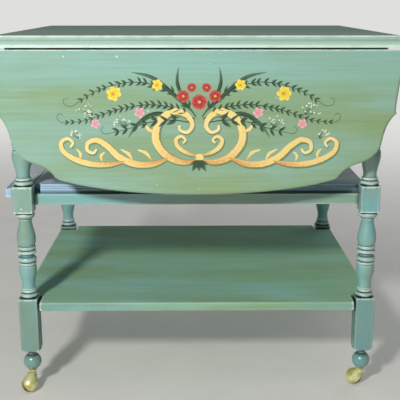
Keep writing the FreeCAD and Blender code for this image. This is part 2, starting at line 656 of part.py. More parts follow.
def rounded_leaf(board):
    """Rounds the arrises of the shaped edge on the face and the back, and eases the top arris."""
    below_top = LEAF_TOP - SMALL_GAP
    shaped = [e for e in board.Edges if e.BoundBox.YLength < SMALL_GAP and e.BoundBox.ZMin < below_top]
    board = board.makeFillet(LEAF_FACE_ROUND, [e for e in shaped if e.BoundBox.YMin > LEAF_MIDDLE_Y])
    shaped = [e for e in board.Edges if e.BoundBox.YLength < SMALL_GAP and e.BoundBox.ZMin < below_top]
    board = board.makeFillet(LEAF_BACK_ROUND, [e for e in shaped if e.BoundBox.YMax < LEAF_MIDDLE_Y])
    hanging = [e for e in board.Edges if e.BoundBox.YMin > TABLE_HALF_WIDTH - LEAF_FACE_ROUND
               and e.BoundBox.ZMin > below_top and e.BoundBox.XLength > LEAF_HALF_LENGTH]
    return board.makeChamfer(LEAF_TOP_ARRIS, hanging)


def leaf(sy):
    """Shaped leaf with the hollow half of the rule joint along its top edge."""
    board = Part.Face(leaf_outline(LEAF_BACK_Y)).extrude(vec(0, TOP_THICKNESS, 0))
    board = rounded_leaf(board)
    hollow_length = (LEAF_HALF_LENGTH + CUT_OVERRUN) * 2
    base = vec(-hollow_length / 2, PIN_Y, PIN_Z)
    board = board.cut(rod(RULE_RADIUS + RULE_CLEARANCE, hollow_length, base, X_AXIS))
    return mirrored(solid_of(board.cut(hinge_leaf_screws(1))), 1, sy)


# Rule-joint hinges, drawn at the back and mirrored.
def screw(radius, head_radius, head_height, length, base, direction):
    """Countersunk screw; base is the centre of its head."""
    shank = rod(radius, length, base, direction)
    head = Part.makeCone(head_radius, radius, head_height, base, direction)
    return solid_of(shank.fuse(head))


def hinge_screw(base, direction):
    return screw(HINGE_SCREW_RADIUS, HINGE_SCREW_HEAD_RADIUS, HINGE_SCREW_HEAD_HEIGHT,
                 HINGE_SCREW_REACH, base, direction)


def hinge_top_screws(sy):
    z = TOP_UNDERSIDE - HINGE_FLAP_THICKNESS
    shapes = [hinge_screw(vec(hx + x, PIN_Y - y, z), Z_AXIS)
              for hx in HINGE_X for x, y in HINGE_TOP_SCREW_PLACES]
    return mirrored(Part.Compound(shapes), 1, sy)


def hinge_leaf_screws(sy):
    y = LEAF_BACK_Y - HINGE_FLAP_THICKNESS
    shapes = [hinge_screw(vec(hx + x, y, PIN_Z - z), Y_AXIS)
              for hx in HINGE_X for x, z in HINGE_LEAF_SCREW_PLACES]
    return mirrored(Part.Compound(shapes), 1, sy)


def knuckles(x, inner, radius):
    """The middle knuckle of a hinge, or its two outer ones."""
    half = HINGE_MIDDLE_KNUCKLE / 2
    if inner:
        return [rod(radius, HINGE_MIDDLE_KNUCKLE, vec(x - half, PIN_Y, PIN_Z), X_AXIS)]
    length = HINGE_WIDTH / 2 - half - HINGE_KNUCKLE_GAP
    return [rod(radius, length, vec(x - HINGE_WIDTH / 2, PIN_Y, PIN_Z), X_AXIS),
            rod(radius, length, vec(x + half + HINGE_KNUCKLE_GAP, PIN_Y, PIN_Z), X_AXIS)]


def knuckle_room(x, inner):
    """Space that the other flap's knuckles need."""
    half = HINGE_MIDDLE_KNUCKLE / 2 + HINGE_KNUCKLE_GAP
    radius = HINGE_BARREL_RADIUS + KNUCKLE_CLEARANCE
    if inner:
        return [rod(radius, half * 2, vec(x - half, PIN_Y, PIN_Z), X_AXIS)]
    start = half - HINGE_KNUCKLE_GAP * 2
    length = HINGE_WIDTH / 2 - start + CUT_OVERRUN
    return [rod(radius, length, vec(x + start, PIN_Y, PIN_Z), X_AXIS),
            rod(radius, length, vec(x - start - length, PIN_Y, PIN_Z), X_AXIS)]


def hinge_top_flap(x):
    half = HINGE_WIDTH / 2
    plate = block(x - half, x + half, PIN_Y - HINGE_TOP_FLAP_LENGTH, PIN_Y,
                  TOP_UNDERSIDE - HINGE_FLAP_THICKNESS, TOP_UNDERSIDE)
    upright = [e for e in plate.Edges if e.BoundBox.ZLength > SMALL_GAP]
    far = [e for e in upright if e.BoundBox.YMax < PIN_Y - SMALL_GAP]
    plate = plate.makeFillet(HINGE_CORNER_RADIUS, far)
    plate = plate.cut(knuckle_room(x, True)).fuse(knuckles(x, False, HINGE_BARREL_RADIUS))
    return plate.cut(knuckles(x, False, HINGE_PIN_RADIUS))


def hinge_leaf_flap(x):
    half = HINGE_WIDTH / 2
    plate = block(x - half, x + half, LEAF_BACK_Y - HINGE_FLAP_THICKNESS, LEAF_BACK_Y,
                  PIN_Z - HINGE_LEAF_FLAP_LENGTH, PIN_Z)
    across = [e for e in plate.Edges if e.BoundBox.YLength > SMALL_GAP]
    far = [e for e in across if e.BoundBox.ZMax < PIN_Z - SMALL_GAP]
    plate = plate.makeFillet(HINGE_CORNER_RADIUS, far)
    plate = plate.cut(knuckle_room(x, False)).fuse(knuckles(x, True, HINGE_BARREL_RADIUS))
    return plate.cut(knuckles(x, True, HINGE_PIN_RADIUS + HINGE_PIN_FIT))


def hinge_top_flaps():
    shapes = []
    for sy in (-1, 1):
        flaps = Part.Compound([hinge_top_flap(x) for x in HINGE_X])
        shapes += mirrored(flaps, 1, sy).cut(hinge_top_screws(sy)).Solids
    return Part.Compound(shapes)


def hinge_leaf_flaps(sy):
    flaps = Part.Compound([hinge_leaf_flap(x) for x in HINGE_X])
    return mirrored(flaps.cut(hinge_leaf_screws(1)), 1, sy)


def hinge_pins():
    pins = [rod(HINGE_PIN_RADIUS, HINGE_WIDTH, vec(x - HINGE_WIDTH / 2, sy * PIN_Y, PIN_Z), X_AXIS)
            for sy in (-1, 1) for x in HINGE_X]
    return Part.Compound(pins)


# Folding stays, drawn at the +X, +Y corner and mirrored.
def stay_rod(radius, x0, x1, drop=0):
    return rod(radius, x1 - x0, vec(x0, STAY_PIVOT_Y, STAY_PIVOT_Z - drop), X_AXIS)


def stay_planes():
    """X of the faces of the four plates: apron ear, apron link, leaf link, leaf ear."""
    pitch = STAY_PLATE + STAY_SIDE_GAP
    return [STAY_X + pitch * i for i in range(STAY_LAYERS)]


def stay_apron_bracket():
    """Foot on the apron's face with an ear that carries the first link."""
    x = stay_planes()[0]
    face_y = LEG_OUTER_Y - APRON_SETBACK
    top = STAY_PIVOT_Z + STAY_FOOT_UP
    foot = block(x + STAY_PLATE - STAY_FOOT_WIDTH, x + STAY_PLATE, face_y, face_y + STAY_FOOT_THICKNESS,
                 STAY_PIVOT_Z - STAY_FOOT_DOWN, top)
    ear = prism([
        vec(x, face_y, top),
        vec(x, face_y + STAY_WIDTH / 2, top),
        vec(x, STAY_PIVOT_Y + STAY_WIDTH / 2, STAY_PIVOT_Z),
        vec(x, STAY_PIVOT_Y, STAY_PIVOT_Z - STAY_FOOT_DOWN),
        vec(x, face_y, STAY_PIVOT_Z - STAY_FOOT_DOWN),
    ], vec(STAY_PLATE, 0, 0))
    eye = stay_rod(STAY_WIDTH / 2, x, x + STAY_PLATE)
    shape = foot.fuse([ear, eye])
    return solid_of(shape.cut(stay_rod(STAY_RIVET_RADIUS, x - CUT_OVERRUN, x + STAY_PLATE + CUT_OVERRUN)))


def stay_leaf_bracket():
    """Foot on the back of the leaf with an ear that carries the second link."""
    x = stay_planes()[-1]
    foot = block(x, x + STAY_FOOT_WIDTH, LEAF_BACK_Y - STAY_FOOT_THICKNESS, LEAF_BACK_Y,
                 STAY_PIVOT_Z - LEAF_FOOT_HALF_HEIGHT, STAY_PIVOT_Z + LEAF_FOOT_HALF_HEIGHT)
    ear = prism([
        vec(x, LEAF_BACK_Y, STAY_PIVOT_Z + LEAF_FOOT_HALF_HEIGHT),
        vec(x, STAY_PIVOT_Y, STAY_PIVOT_Z + STAY_WIDTH / 2),
        vec(x, STAY_PIVOT_Y, STAY_PIVOT_Z - STAY_WIDTH / 2),
        vec(x, LEAF_BACK_Y, STAY_PIVOT_Z - LEAF_FOOT_HALF_HEIGHT),
    ], vec(STAY_PLATE, 0, 0))
    eye = stay_rod(STAY_WIDTH / 2, x, x + STAY_PLATE)
    shape = foot.fuse([ear, eye])
    return solid_of(shape.cut(stay_rod(STAY_RIVET_RADIUS, x - CUT_OVERRUN, x + STAY_PLATE + CUT_OVERRUN)))


def stay_link(x, head_x):
    """Flat bar with round ends, hanging from its pivot, with a peened stud at the knee."""
    bar = block(x, x + STAY_PLATE, STAY_PIVOT_Y - STAY_WIDTH / 2, STAY_PIVOT_Y + STAY_WIDTH / 2,
                STAY_PIVOT_Z - STAY_LINK, STAY_PIVOT_Z)
    ends = [stay_rod(STAY_WIDTH / 2, x, x + STAY_PLATE, drop) for drop in (0, STAY_LINK)]
    stud = stay_rod(STAY_RIVET_HEAD_RADIUS, head_x, head_x + STAY_RIVET_HEAD_HEIGHT, STAY_LINK)
    bar = bar.fuse(ends + [stud])
    hole = stay_rod(STAY_RIVET_RADIUS + STAY_RIVET_FIT, x - CUT_OVERRUN, x + STAY_PLATE + CUT_OVERRUN)
    return solid_of(bar.cut(hole))


def stay_apron_link(sx, sy):
    x = stay_planes()[1]
    return mirrored(stay_link(x, x - STAY_RIVET_HEAD_HEIGHT), sx, sy)


def stay_leaf_link(sx, sy):
    x = stay_planes()[2]
    return mirrored(stay_link(x, x + STAY_PLATE), sx, sy)


def stay_apron_rivet():
    ear, link = stay_planes()[:2]
    shank = stay_rod(STAY_RIVET_RADIUS, ear, link + STAY_PLATE)
    head = stay_rod(STAY_RIVET_HEAD_RADIUS, ear - STAY_RIVET_HEAD_HEIGHT, ear)
    return solid_of(shank.fuse(head))


def stay_leaf_rivet():
    link, ear = stay_planes()[2:]
    shank = stay_rod(STAY_RIVET_RADIUS, link, ear + STAY_PLATE)
    head = stay_rod(STAY_RIVET_HEAD_RADIUS, ear + STAY_PLATE, ear + STAY_PLATE + STAY_RIVET_HEAD_HEIGHT)
    return solid_of(shank.fuse(head))


def on_one_side(make, sy):
    return Part.Compound([mirrored(make(), sx, sy) for sx in (-1, 1)])


# Pull-out tray.
def tray_board():
    """Board with three stepped bands along its front and back edges and notched left corners."""
    w = TRAY_HALF_WIDTH
    z1 = TRAY_BOTTOM + TRAY_BOTTOM_BAND
    z2 = z1 + TRAY_MIDDLE_BAND
    half = [(w, TRAY_BOTTOM), (w, z1), (w - TRAY_STEP, z1), (w - TRAY_STEP, z2),
            (w - TRAY_STEP * 2, z2), (w - TRAY_STEP * 2, TRAY_TOP)]
    outline = half + [(-y, z) for y, z in reversed(half)]
    x0 = -TRAY_JOINT_X + TRAY_JOINT_GAP
    board = prism([vec(x0, y, z) for y, z in outline], vec(TRAY_RIGHT_END - x0, 0, 0))
    crests = [e for e in board.Edges if e.BoundBox.XLength > TRAY_HALF_WIDTH and is_crest(e, half)]
    board = board.makeFillet(TRAY_SMALL_RADIUS, crests)
    notch_side = -LEG_INNER_X + TRAY_NOTCH_MARGIN
    notch = block(x0 - CUT_OVERRUN, notch_side, w - TRAY_NOTCH_DEPTH, w + CUT_OVERRUN,
                  TRAY_BOTTOM - CUT_OVERRUN, TRAY_TOP + CUT_OVERRUN)
    board = board.cut([notch, notch.mirror(ORIGIN, Y_AXIS)])
    return solid_of(board.cut(tray_tongue()))


def is_crest(edge, half):
    """True for the outer arris of each band."""
    y = abs(edge.Vertexes[0].Y)
    z = edge.Vertexes[0].Z
    return any(abs(y - cy) < SMALL_GAP and abs(z - cz) < SMALL_GAP for cy, cz in half[1::2])


def tray_tongue():
    """Tongue that joins the cleat to the board."""
    z = TRAY_BOTTOM + (TRAY_THICKNESS - CLEAT_TONGUE_HEIGHT) / 2
    w = TRAY_HALF_WIDTH - CLEAT_TONGUE_END_INSET
    x0 = -TRAY_JOINT_X
    return block(x0, x0 + CLEAT_TONGUE_LENGTH, -w, w, z, z + CLEAT_TONGUE_HEIGHT)


def tray_cleat():
    """End board of the tray: it lies between the legs and laps their outer faces as a pull."""
    inner = block(-CLEAT_OUTER_X + CLEAT_ROUND, -TRAY_JOINT_X, -TRAY_HALF_WIDTH, TRAY_HALF_WIDTH,
                  TRAY_BOTTOM, TRAY_TOP)
    lap = block(-CLEAT_OUTER_X, -CLEAT_INNER_X, -CLEAT_HALF_WIDTH, CLEAT_HALF_WIDTH,
                TRAY_TOP - CLEAT_HEIGHT, TRAY_TOP)
    outer = [e for e in lap.Edges if e.BoundBox.XMax < -CLEAT_OUTER_X + SMALL_GAP]
    lap = lap.makeFillet(CLEAT_ROUND, outer)
    bead_x = -CLEAT_OUTER_X + CLEAT_BEAD_INSET
    bead = block(bead_x, bead_x + CLEAT_BEAD_WIDTH, -CLEAT_HALF_WIDTH - CUT_OVERRUN,
                 CLEAT_HALF_WIDTH + CUT_OVERRUN, TRAY_TOP - CLEAT_BEAD_DEPTH, TRAY_TOP + CUT_OVERRUN)
    return solid_of(inner.fuse([lap, tray_tongue()]).cut(bead))


def tray_stop():
    """Batten under the board; it meets the left rail when the tray is fully out."""
    x0 = -END_RAIL_INNER_X + TRAY_TRAVEL + TRAY_STOP_GAP
    w = TRAY_HALF_WIDTH - TRAY_STOP_END_INSET
    return block(x0, x0 + TRAY_STOP_THICKNESS, -w, w, TRAY_BOTTOM - TRAY_STOP_HEIGHT, TRAY_BOTTOM)


# Lower shelf.
def lower_shelf():
    """Shelf notched round the four legs, with eased long edges."""
    shape = block(-LEG_OUTER_X, LEG_OUTER_X, -LEG_OUTER_Y, LEG_OUTER_Y, SHELF_BOTTOM, SHELF_TOP)
    level = [e for e in shape.Edges if e.BoundBox.ZLength < SMALL_GAP]
    shape = shape.makeFillet(SHELF_EDGE_ROUND, level)
    notch = block(LEG_INNER_X - SHELF_LEG_GAP, LEG_OUTER_X + CUT_OVERRUN,
                  LEG_INNER_Y - SHELF_LEG_GAP, LEG_OUTER_Y + CUT_OVERRUN,
                  SHELF_BOTTOM - CUT_OVERRUN, SHELF_TOP + CUT_OVERRUN)
    shape = shape.cut([mirrored(notch, sx, sy) for sx, sy in CORNERS.values()])
    return solid_of(shape.cut(shelf_screws()))


def shelf_bearer(sx):
    x1 = LEG_OUTER_X - BEARER_INSET
    bearer = block(x1 - BEARER_WIDTH, x1, -LEG_INNER_Y, LEG_INNER_Y,
                   SHELF_BOTTOM - BEARER_HEIGHT, SHELF_BOTTOM)
    return mirrored(bearer, sx, 1)


def shelf_bearers():
    bearers = Part.Compound([shelf_bearer(-1), shelf_bearer(1)])
    return bearers.cut(shelf_screws())


def shelf_screws():
    x = LEG_OUTER_X - BEARER_INSET - BEARER_WIDTH / 2
    z = SHELF_BOTTOM - BEARER_HEIGHT
    return Part.Compound([
        screw(SHELF_SCREW_RADIUS, SHELF_SCREW_HEAD_RADIUS, SHELF_SCREW_HEAD_HEIGHT, SHELF_SCREW_LENGTH,
              vec(sx * x, LEG_CENTRE_Y * share, z), Z_AXIS)
        for sx in (-1, 1) for share in SHELF_SCREW_Y_SHARES
    ])


# Ball casters, drawn round the stem with the ball trailing towards -Y, then turned.
def ball_centre():
    return vec(0, -CASTER_TRAIL, WHEEL_RADIUS)


def axle_direction(side):
    tilt = math.radians(AXLE_TILT)
    return vec(side * math.cos(tilt), 0, math.sin(tilt))


def along_axle(side, offset):
    return ball_centre() + axle_direction(side) * offset


def beyond(side, offset):
    """Everything on the hood's side of a plane across the axle."""
    return rod(HOOD_CUT_SIZE, HOOD_CUT_SIZE, along_axle(side, offset), axle_direction(side))


def ball(radius):
    return Part.makeSphere(radius, ball_centre())


def pear(neck_z):
    """Ball and neck in one outline, joined by the line that touches both, leant towards the stem."""
    rise = vec(0, 0, neck_z) - ball_centre()
    taper = (HOOD_RADIUS - SWIVEL_NECK_RADIUS) / rise.Length
    across = math.sqrt(1 - taper ** 2)
    crown = (math.asin(taper) + math.pi / 2) / 2
    low = vec(HOOD_RADIUS * across, 0, HOOD_RADIUS * taper)
    high = vec(SWIVEL_NECK_RADIUS * across, 0, rise.Length + SWIVEL_NECK_RADIUS * taper)
    shoulder = vec(SWIVEL_NECK_RADIUS * math.cos(crown), 0,
                   rise.Length + SWIVEL_NECK_RADIUS * math.sin(crown))
    foot, tip = vec(0, 0, -HOOD_RADIUS), vec(0, 0, rise.Length + SWIVEL_NECK_RADIUS)
    edges = [Part.Arc(foot, vec(HOOD_RADIUS, 0, 0), low).toShape(), Part.LineSegment(low, high).toShape(),
             Part.Arc(high, shoulder, tip).toShape(), Part.LineSegment(tip, foot).toShape()]
    shape = Part.Face(Part.Wire(edges)).revolve(ORIGIN, Z_AXIS, FULL_TURN)
    shape.rotate(ORIGIN, X_AXIS, -math.degrees(math.atan2(rise.y, rise.z)))
    shape.translate(ball_centre())
    return shape


def caster_swivel(side):
    """Pear-shaped hood with its axle boss, the collar under the foot, and the stem."""
    collar_z = SOCKET_FLANGE_BOTTOM - SMALL_GAP - SWIVEL_COLLAR_HEIGHT
    shape = pear(collar_z - SWIVEL_NECK_DROP).common(beyond(side, HOOD_RIM_OFFSET))
    collar = rod(SWIVEL_COLLAR_RADIUS, SWIVEL_COLLAR_HEIGHT, vec(0, 0, collar_z))
    shape = shape.fuse(collar).cut(ball(WHEEL_RADIUS + HOOD_CLEARANCE))
    boss = rod(AXLE_BOSS_RADIUS, WHEEL_RADIUS, along_axle(side, HOOD_RIM_OFFSET), axle_direction(side))
    stem_top = SOCKET_FLANGE_BOTTOM + SOCKET_LENGTH - SOCKET_END_WALL - STEM_END_GAP
    stem = rod(STEM_RADIUS, stem_top - collar_z, vec(0, 0, collar_z))
    return solid_of(shape.fuse([boss, stem]).cut(caster_axle(side)))


def caster_axle(side):
    length = WHEEL_FLAT_OFFSET + WHEEL_RADIUS - AXLE_BURIED
    return rod(AXLE_RADIUS, length, along_axle(side, -WHEEL_FLAT_OFFSET), axle_direction(side))


def caster_wheel(side):
    """The other half of the ball, with a flat outer face."""
    shape = ball(WHEEL_RADIUS).cut(beyond(side, -WHEEL_FACE_OFFSET))
    shape = shape.common(beyond(side, -WHEEL_FLAT_OFFSET))
    bore = rod(AXLE_RADIUS + AXLE_FIT, WHEEL_RADIUS * 2, along_axle(side, -WHEEL_RADIUS),
               axle_direction(side))
    return solid_of(shape.cut(bore))


def caster_socket():
    """Flanged sleeve pressed into the foot; the stem turns in it."""
    flange = rod(SOCKET_FLANGE_RADIUS, SOCKET_FLANGE_HEIGHT, vec(0, 0, SOCKET_FLANGE_BOTTOM))
    sleeve = rod(SOCKET_OUTER_RADIUS, SOCKET_LENGTH, vec(0, 0, SOCKET_FLANGE_BOTTOM))
    bore = rod(STEM_RADIUS + STEM_FIT, SOCKET_LENGTH - SOCKET_END_WALL, vec(0, 0, SOCKET_FLANGE_BOTTOM))
    return solid_of(flange.fuse(sleeve).cut(bore))


def under_leg(shape, corner):
    sx, sy = CORNERS[corner]
    shape.rotate(ORIGIN, Z_AXIS, CASTER_TURN[corner])
    shape.translate(vec(sx * LEG_CENTRE_X, sy * LEG_CENTRE_Y, 0))
    return shape


def sub_parts():
    """Every node of the table and its shape."""
    parts = {"top_panel": top_panel()}
    for corner, (sx, sy) in CORNERS.items():
        parts["leg_" + corner] = leg(sx, sy)
        parts["stay_" + corner + "_apron_link"] = stay_apron_link(sx, sy)
        parts["stay_" + corner + "_leaf_link"] = stay_leaf_link(sx, sy)
        side = CASTER_HOOD_SIDE[corner]
        parts["caster_" + corner + "_swivel"] = under_leg(caster_swivel(side), corner)
        parts["caster_" + corner + "_axle"] = under_leg(caster_axle(side), corner)
        parts["caster_" + corner + "_wheel"] = under_leg(caster_wheel(side), corner)
    for name, sy in (("front", -1), ("rear", 1)):
        parts["leaf_" + name] = leaf(sy)
        parts["hinge_flaps_leaf_" + name] = hinge_leaf_flaps(sy)
        parts["hinge_screws_leaf_" + name] = hinge_leaf_screws(sy)
        parts["stay_brackets_leaf_" + name] = on_one_side(stay_leaf_bracket, sy)
        parts["stay_rivets_leaf_" + name] = on_one_side(stay_leaf_rivet, sy)
        parts["apron_" + name] = apron_long(sy)
        parts["tray_rail_" + name] = rail_long(sy)
    for name, sx in (("left", -1), ("right", 1)):
        parts["apron_" + name] = apron_end(sx)
        parts["tray_rail_" + name] = rail_end(sx)
    parts["hinge_flaps_top"] = hinge_top_flaps()
    parts["hinge_screws_top"] = Part.Compound([hinge_top_screws(-1), hinge_top_screws(1)])
    parts["hinge_pins"] = hinge_pins()
    parts["stay_brackets_apron"] = at_each_corner(stay_apron_bracket)
    parts["stay_rivets_apron"] = at_each_corner(stay_apron_rivet)
    parts["corner_blocks"] = at_each_corner(corner_block)
    parts["corner_block_screws"] = at_each_corner(block_screw)
    parts["tray_runners"] = tray_runners()
    parts["tray_board"] = tray_board()
    parts["tray_cleat"] = tray_cleat()
    parts["tray_stop"] = tray_stop()
    parts["lower_shelf"] = lower_shelf()
    parts["shelf_bearers"] = shelf_bearers()
    parts["shelf_screws"] = shelf_screws()
    parts["caster_sockets"] = Part.Compound([under_leg(caster_socket(), c) for c in CORNERS])
    return parts


def main():
    os.makedirs("parts", exist_ok=True)
    for name, shape in sub_parts().items():
        shape.exportStep("parts/" + name + ".step")


main()
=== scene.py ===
import math
import random

import bpy
from bpy.props import FloatProperty, FloatVectorProperty, IntProperty, PointerProperty
from mathutils import Matrix, Vector


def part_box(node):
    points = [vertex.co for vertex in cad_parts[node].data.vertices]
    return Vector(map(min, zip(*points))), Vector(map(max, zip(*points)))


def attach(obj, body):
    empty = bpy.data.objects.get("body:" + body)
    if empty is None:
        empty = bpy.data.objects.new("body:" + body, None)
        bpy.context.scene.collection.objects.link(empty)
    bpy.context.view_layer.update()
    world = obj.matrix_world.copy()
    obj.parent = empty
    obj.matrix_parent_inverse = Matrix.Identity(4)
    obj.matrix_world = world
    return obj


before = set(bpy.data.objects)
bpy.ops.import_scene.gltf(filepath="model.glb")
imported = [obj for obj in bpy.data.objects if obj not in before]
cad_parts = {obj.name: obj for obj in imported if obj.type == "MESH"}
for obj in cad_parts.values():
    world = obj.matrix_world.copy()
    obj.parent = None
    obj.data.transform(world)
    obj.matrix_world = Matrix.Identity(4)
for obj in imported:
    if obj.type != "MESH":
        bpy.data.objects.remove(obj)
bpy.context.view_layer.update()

bl_info = {
    "name": "Drop-Leaf Tea Cart Finishes",
    "version": (1, 0, 0),
    "blender": (4, 5, 0),
    "location": "View3D > Sidebar > Tea Cart",
    "description": "Paints, decorates and lights a drop-leaf tea cart round its CAD model",
    "category": "Object",
}

MM = 0.001
CORNERS = ("fl", "fr", "rl", "rr")

# Where the photograph was taken from, in metres and degrees.
CAMERA_PLACE = (-0.0098, -1.8863, 0.8017)
CAMERA_YAW = 0.58
CAMERA_PITCH = -13.66
CAMERA_LENS = 73.5
CAMERA_SENSOR = 36.0

# Pale background that the camera sees far off, in linear light, and the share of it in reflections.
BACKDROP = (0.74, 0.74, 0.72)
MIRRORED_SHARE = 0.12

# Distances from the table between which the floor turns into that background, and the shares there.
FLOOR_FADE = (0.6, 4.0, 0.18, 1.0)

# Places of the lamps, of what they are aimed at, and sides of the wide ones, in metres.
KEY_PLACE, KEY_AIM = (-0.99, -2.6, 1.78), (0.0, -0.2, 0.45)
CEILING_PLACE, CEILING_AIM = (0.1, -0.3, 3.1), (0.0, 0.0, 0.3)
REAR_PLACE, REAR_AIM = (2.3, 2.4, 1.5), (0.0, 0.0, 0.4)
CEILING_SIZE, REAR_SIZE = 2.6, 2.4
FLOOR_SIDES = 64

# Heights, in metres, between which a paint goes from its low tint to its main one.
LEAF_CHANGE = (0.62, 0.685)
# On the top, the paler tint below these heights is a painted highlight on the moulded edge.
TOP_CHANGE = (0.7385, 0.7397)
SHELF_CHANGE = (0.1965, 0.1978)

# Heights between which the leaves get more chips, with the share above them, and the painted highlight
# along the upper rim.
LEAF_CHIP_RISE = (0.68, 0.71, 0.9)
LEAF_RIM_HIGHLIGHT = (0.7126, 0.7136)

# Radius of the legs' turnings whose crests get rubbed paint and a painted highlight, and of the foot's thin
# neck.
TURNING_RADIUS = 21.0 * MM
NECK_RADIUS = 11.0 * MM

# Dark green of the painted shade and dirt in the grooves, in linear light, and how many places for a chip a
# metre holds.
DIRT_AND_SHADE_COLOUR = (0.006, 0.02, 0.016)
CHIPS_PER_METRE = 62.0


def linear(red, green, blue):
    """A colour written in screen values from 0 to 255, as linear light."""
    return tuple(((c / 255 + 0.055) / 1.055) ** 2.4 for c in (red, green, blue))


# Shader building blocks.
class Shader:
    """Adds nodes to one node tree and joins them."""

    def __init__(self, tree):
        self.tree = tree

    def feed(self, socket, value):
        if isinstance(value, bpy.types.NodeSocket):
            self.tree.links.new(value, socket)
        elif socket.type == "RGBA" and len(value) == 3:
            socket.default_value = (*value, 1)
        else:
            socket.default_value = value

    def add(self, kind, settings=None, **sockets):
        node = self.tree.nodes.new("ShaderNode" + kind)
        for name, value in (settings or {}).items():
            setattr(node, name, value)
        for name, value in sockets.items():
            self.feed(node.inputs[name.replace("_", " ")], value)
        return node

    def math(self, operation, *values):
        node = self.add("Math", {"operation": operation})
        for socket, value in zip(node.inputs, values):
            self.feed(socket, value)
        return node.outputs[0]

    def vector_math(self, operation, *values):
        node = self.add("VectorMath", {"operation": operation})
        for socket, value in zip(node.inputs, values):
            self.feed(socket, value)
        return node.outputs["Value" if operation == "DOT_PRODUCT" else "Vector"]

    def mix(self, factor, first, second, blend="MIX"):
        node = self.add("Mix", {"data_type": "RGBA", "blend_type": blend})
        self.feed(node.inputs[0], factor)
        self.feed(node.inputs[6], first)
        self.feed(node.inputs[7], second)
        return node.outputs[2]

    def remap(self, value, low, high, to_low=0.0, to_high=1.0):
        node = self.add("MapRange", {"interpolation_type": "SMOOTHSTEP"}, Value=value)
        for name, number in zip(("From Min", "From Max", "To Min", "To Max"), (low, high, to_low, to_high)):
            node.inputs[name].default_value = number
        return node.outputs[0]

    def noise(self, vector, scale, detail=3.0, roughness=0.55):
        node = self.add("TexNoise", Vector=vector, Scale=scale, Detail=detail, Roughness=roughness)
        return node.outputs["Fac"]

    def shifted(self, vector, offset):
        return self.vector_math("ADD", vector, offset)


def new_group(name, inputs, outputs):
    """An empty shader group with named sockets; returns its shader, its inputs and its output node."""
    tree = bpy.data.node_groups.new(name, "ShaderNodeTree")
    kinds = {"float": "NodeSocketFloat", "color": "NodeSocketColor", "vector": "NodeSocketVector"}
    for socket, kind in inputs.items():
        tree.interface.new_socket(name=socket, in_out="INPUT", socket_type=kinds[kind])
    for socket, kind in outputs.items():
        tree.interface.new_socket(name=socket, in_out="OUTPUT", socket_type=kinds[kind])
    shader = Shader(tree)
    return shader, tree.nodes.new("NodeGroupInput").outputs, tree.nodes.new("NodeGroupOutput").inputs


def brushed_paint_group():
    """Hand-brushed paint: patches of three tints, brush streaks, and small chips."""
    shader, given, put = new_group(
        "Brushed Paint",
        {"Vector": "vector", "Main": "color", "Cool": "color", "Warm": "color", "Worn": "color",
         "Patches": "vector", "Streaks": "vector", "Brushing": "float", "Wear": "float", "Dirt": "float",
         "Chips": "float"},
        {"Color": "color", "Roughness": "float", "Height": "float"})
    patches = shader.vector_math("MULTIPLY", given["Vector"], given["Patches"])
    streaks = shader.vector_math("MULTIPLY", given["Vector"], given["Streaks"])
    cool = shader.remap(shader.noise(patches, 1.0, 4.0), 0.42, 0.62)
    warm = shader.remap(shader.noise(shader.shifted(patches, (7.3, 1.9, 4.1)), 1.0, 4.0), 0.46, 0.66)
    colour = shader.mix(cool, given["Main"], given["Cool"])
    colour = shader.mix(warm, colour, given["Warm"])
    bristle = shader.noise(streaks, 1.0, 5.0, 0.65)
    swing = shader.math("MULTIPLY", given["Brushing"], shader.math("SUBTRACT", bristle, 0.5))
    colour = shader.mix(1.0, colour, shader.math("ADD", 1.0, swing), "MULTIPLY")
    warped = shader.noise(given["Vector"], 90.0, 2.0)
    chip = shader.add("TexVoronoi", Vector=given["Vector"], Scale=CHIPS_PER_METRE)
    size = shader.math("MULTIPLY", shader.remap(warped, 0.3, 0.7), 0.14)
    near = shader.math("LESS_THAN", chip.outputs["Distance"], size)
    chosen = shader.add("SeparateColor", Color=chip.outputs["Color"]).outputs["Red"]
    picked = shader.math("LESS_THAN", chosen, given["Chips"])
    chipped = shader.math("MULTIPLY", near, picked)
    # Chips, rubbed edges and the painted highlights on crests and rims all take the pale tint.
    bare_and_highlight = shader.math("MAXIMUM", chipped, given["Wear"])
    colour = shader.mix(bare_and_highlight, colour, given["Worn"])
    # Grooves and inner corners darken: painted shade, with dirt.
    dirt_and_shade = shader.math("MULTIPLY", given["Dirt"], 0.9)
    colour = shader.mix(dirt_and_shade, colour, DIRT_AND_SHADE_COLOUR)
    shader.feed(put["Color"], colour)
    shader.feed(put["Roughness"], shader.remap(bristle, 0.2, 0.8, 0.27, 0.42))
    height = shader.math("SUBTRACT", bristle, shader.math("MULTIPLY", chipped, 0.8))
    shader.feed(put["Height"], height)
    return shader.tree


def edge_wear_and_highlight_group():
    """Mask of the arrises that handling has rubbed, and of turned crests, part rubbed paint and part
    painted highlight, broken up along their length.

    Rays cast into the piece come out again soon where it is thin, near an arris or a crest.
    """
    shader, given, put = new_group(
        "Edge Wear", {"Vector": "vector", "Amount": "float", "Crests": "float"}, {"Mask": "float"})
    inward = shader.add("AmbientOcclusion", {"samples": 8, "inside": True})
    inward.inputs["Distance"].default_value = 7.0 * MM
    arris = shader.remap(inward.outputs["AO"], 0.67, 0.53)
    # Crests take the pale tint as rubbed paint and as a painted highlight.
    crest = shader.math("MULTIPLY", shader.remap(inward.outputs["AO"], 0.86, 0.72), given["Crests"])
    rubbed_and_highlight = shader.math("MAXIMUM", arris, crest)
    broken = shader.remap(shader.noise(given["Vector"], 30.0, 4.0, 0.7), 0.3, 0.55, 0.45, 1.0)
    mask = shader.math("MULTIPLY", shader.math("MULTIPLY", rubbed_and_highlight, broken), given["Amount"])
    shader.feed(put["Mask"], mask)
    return shader.tree


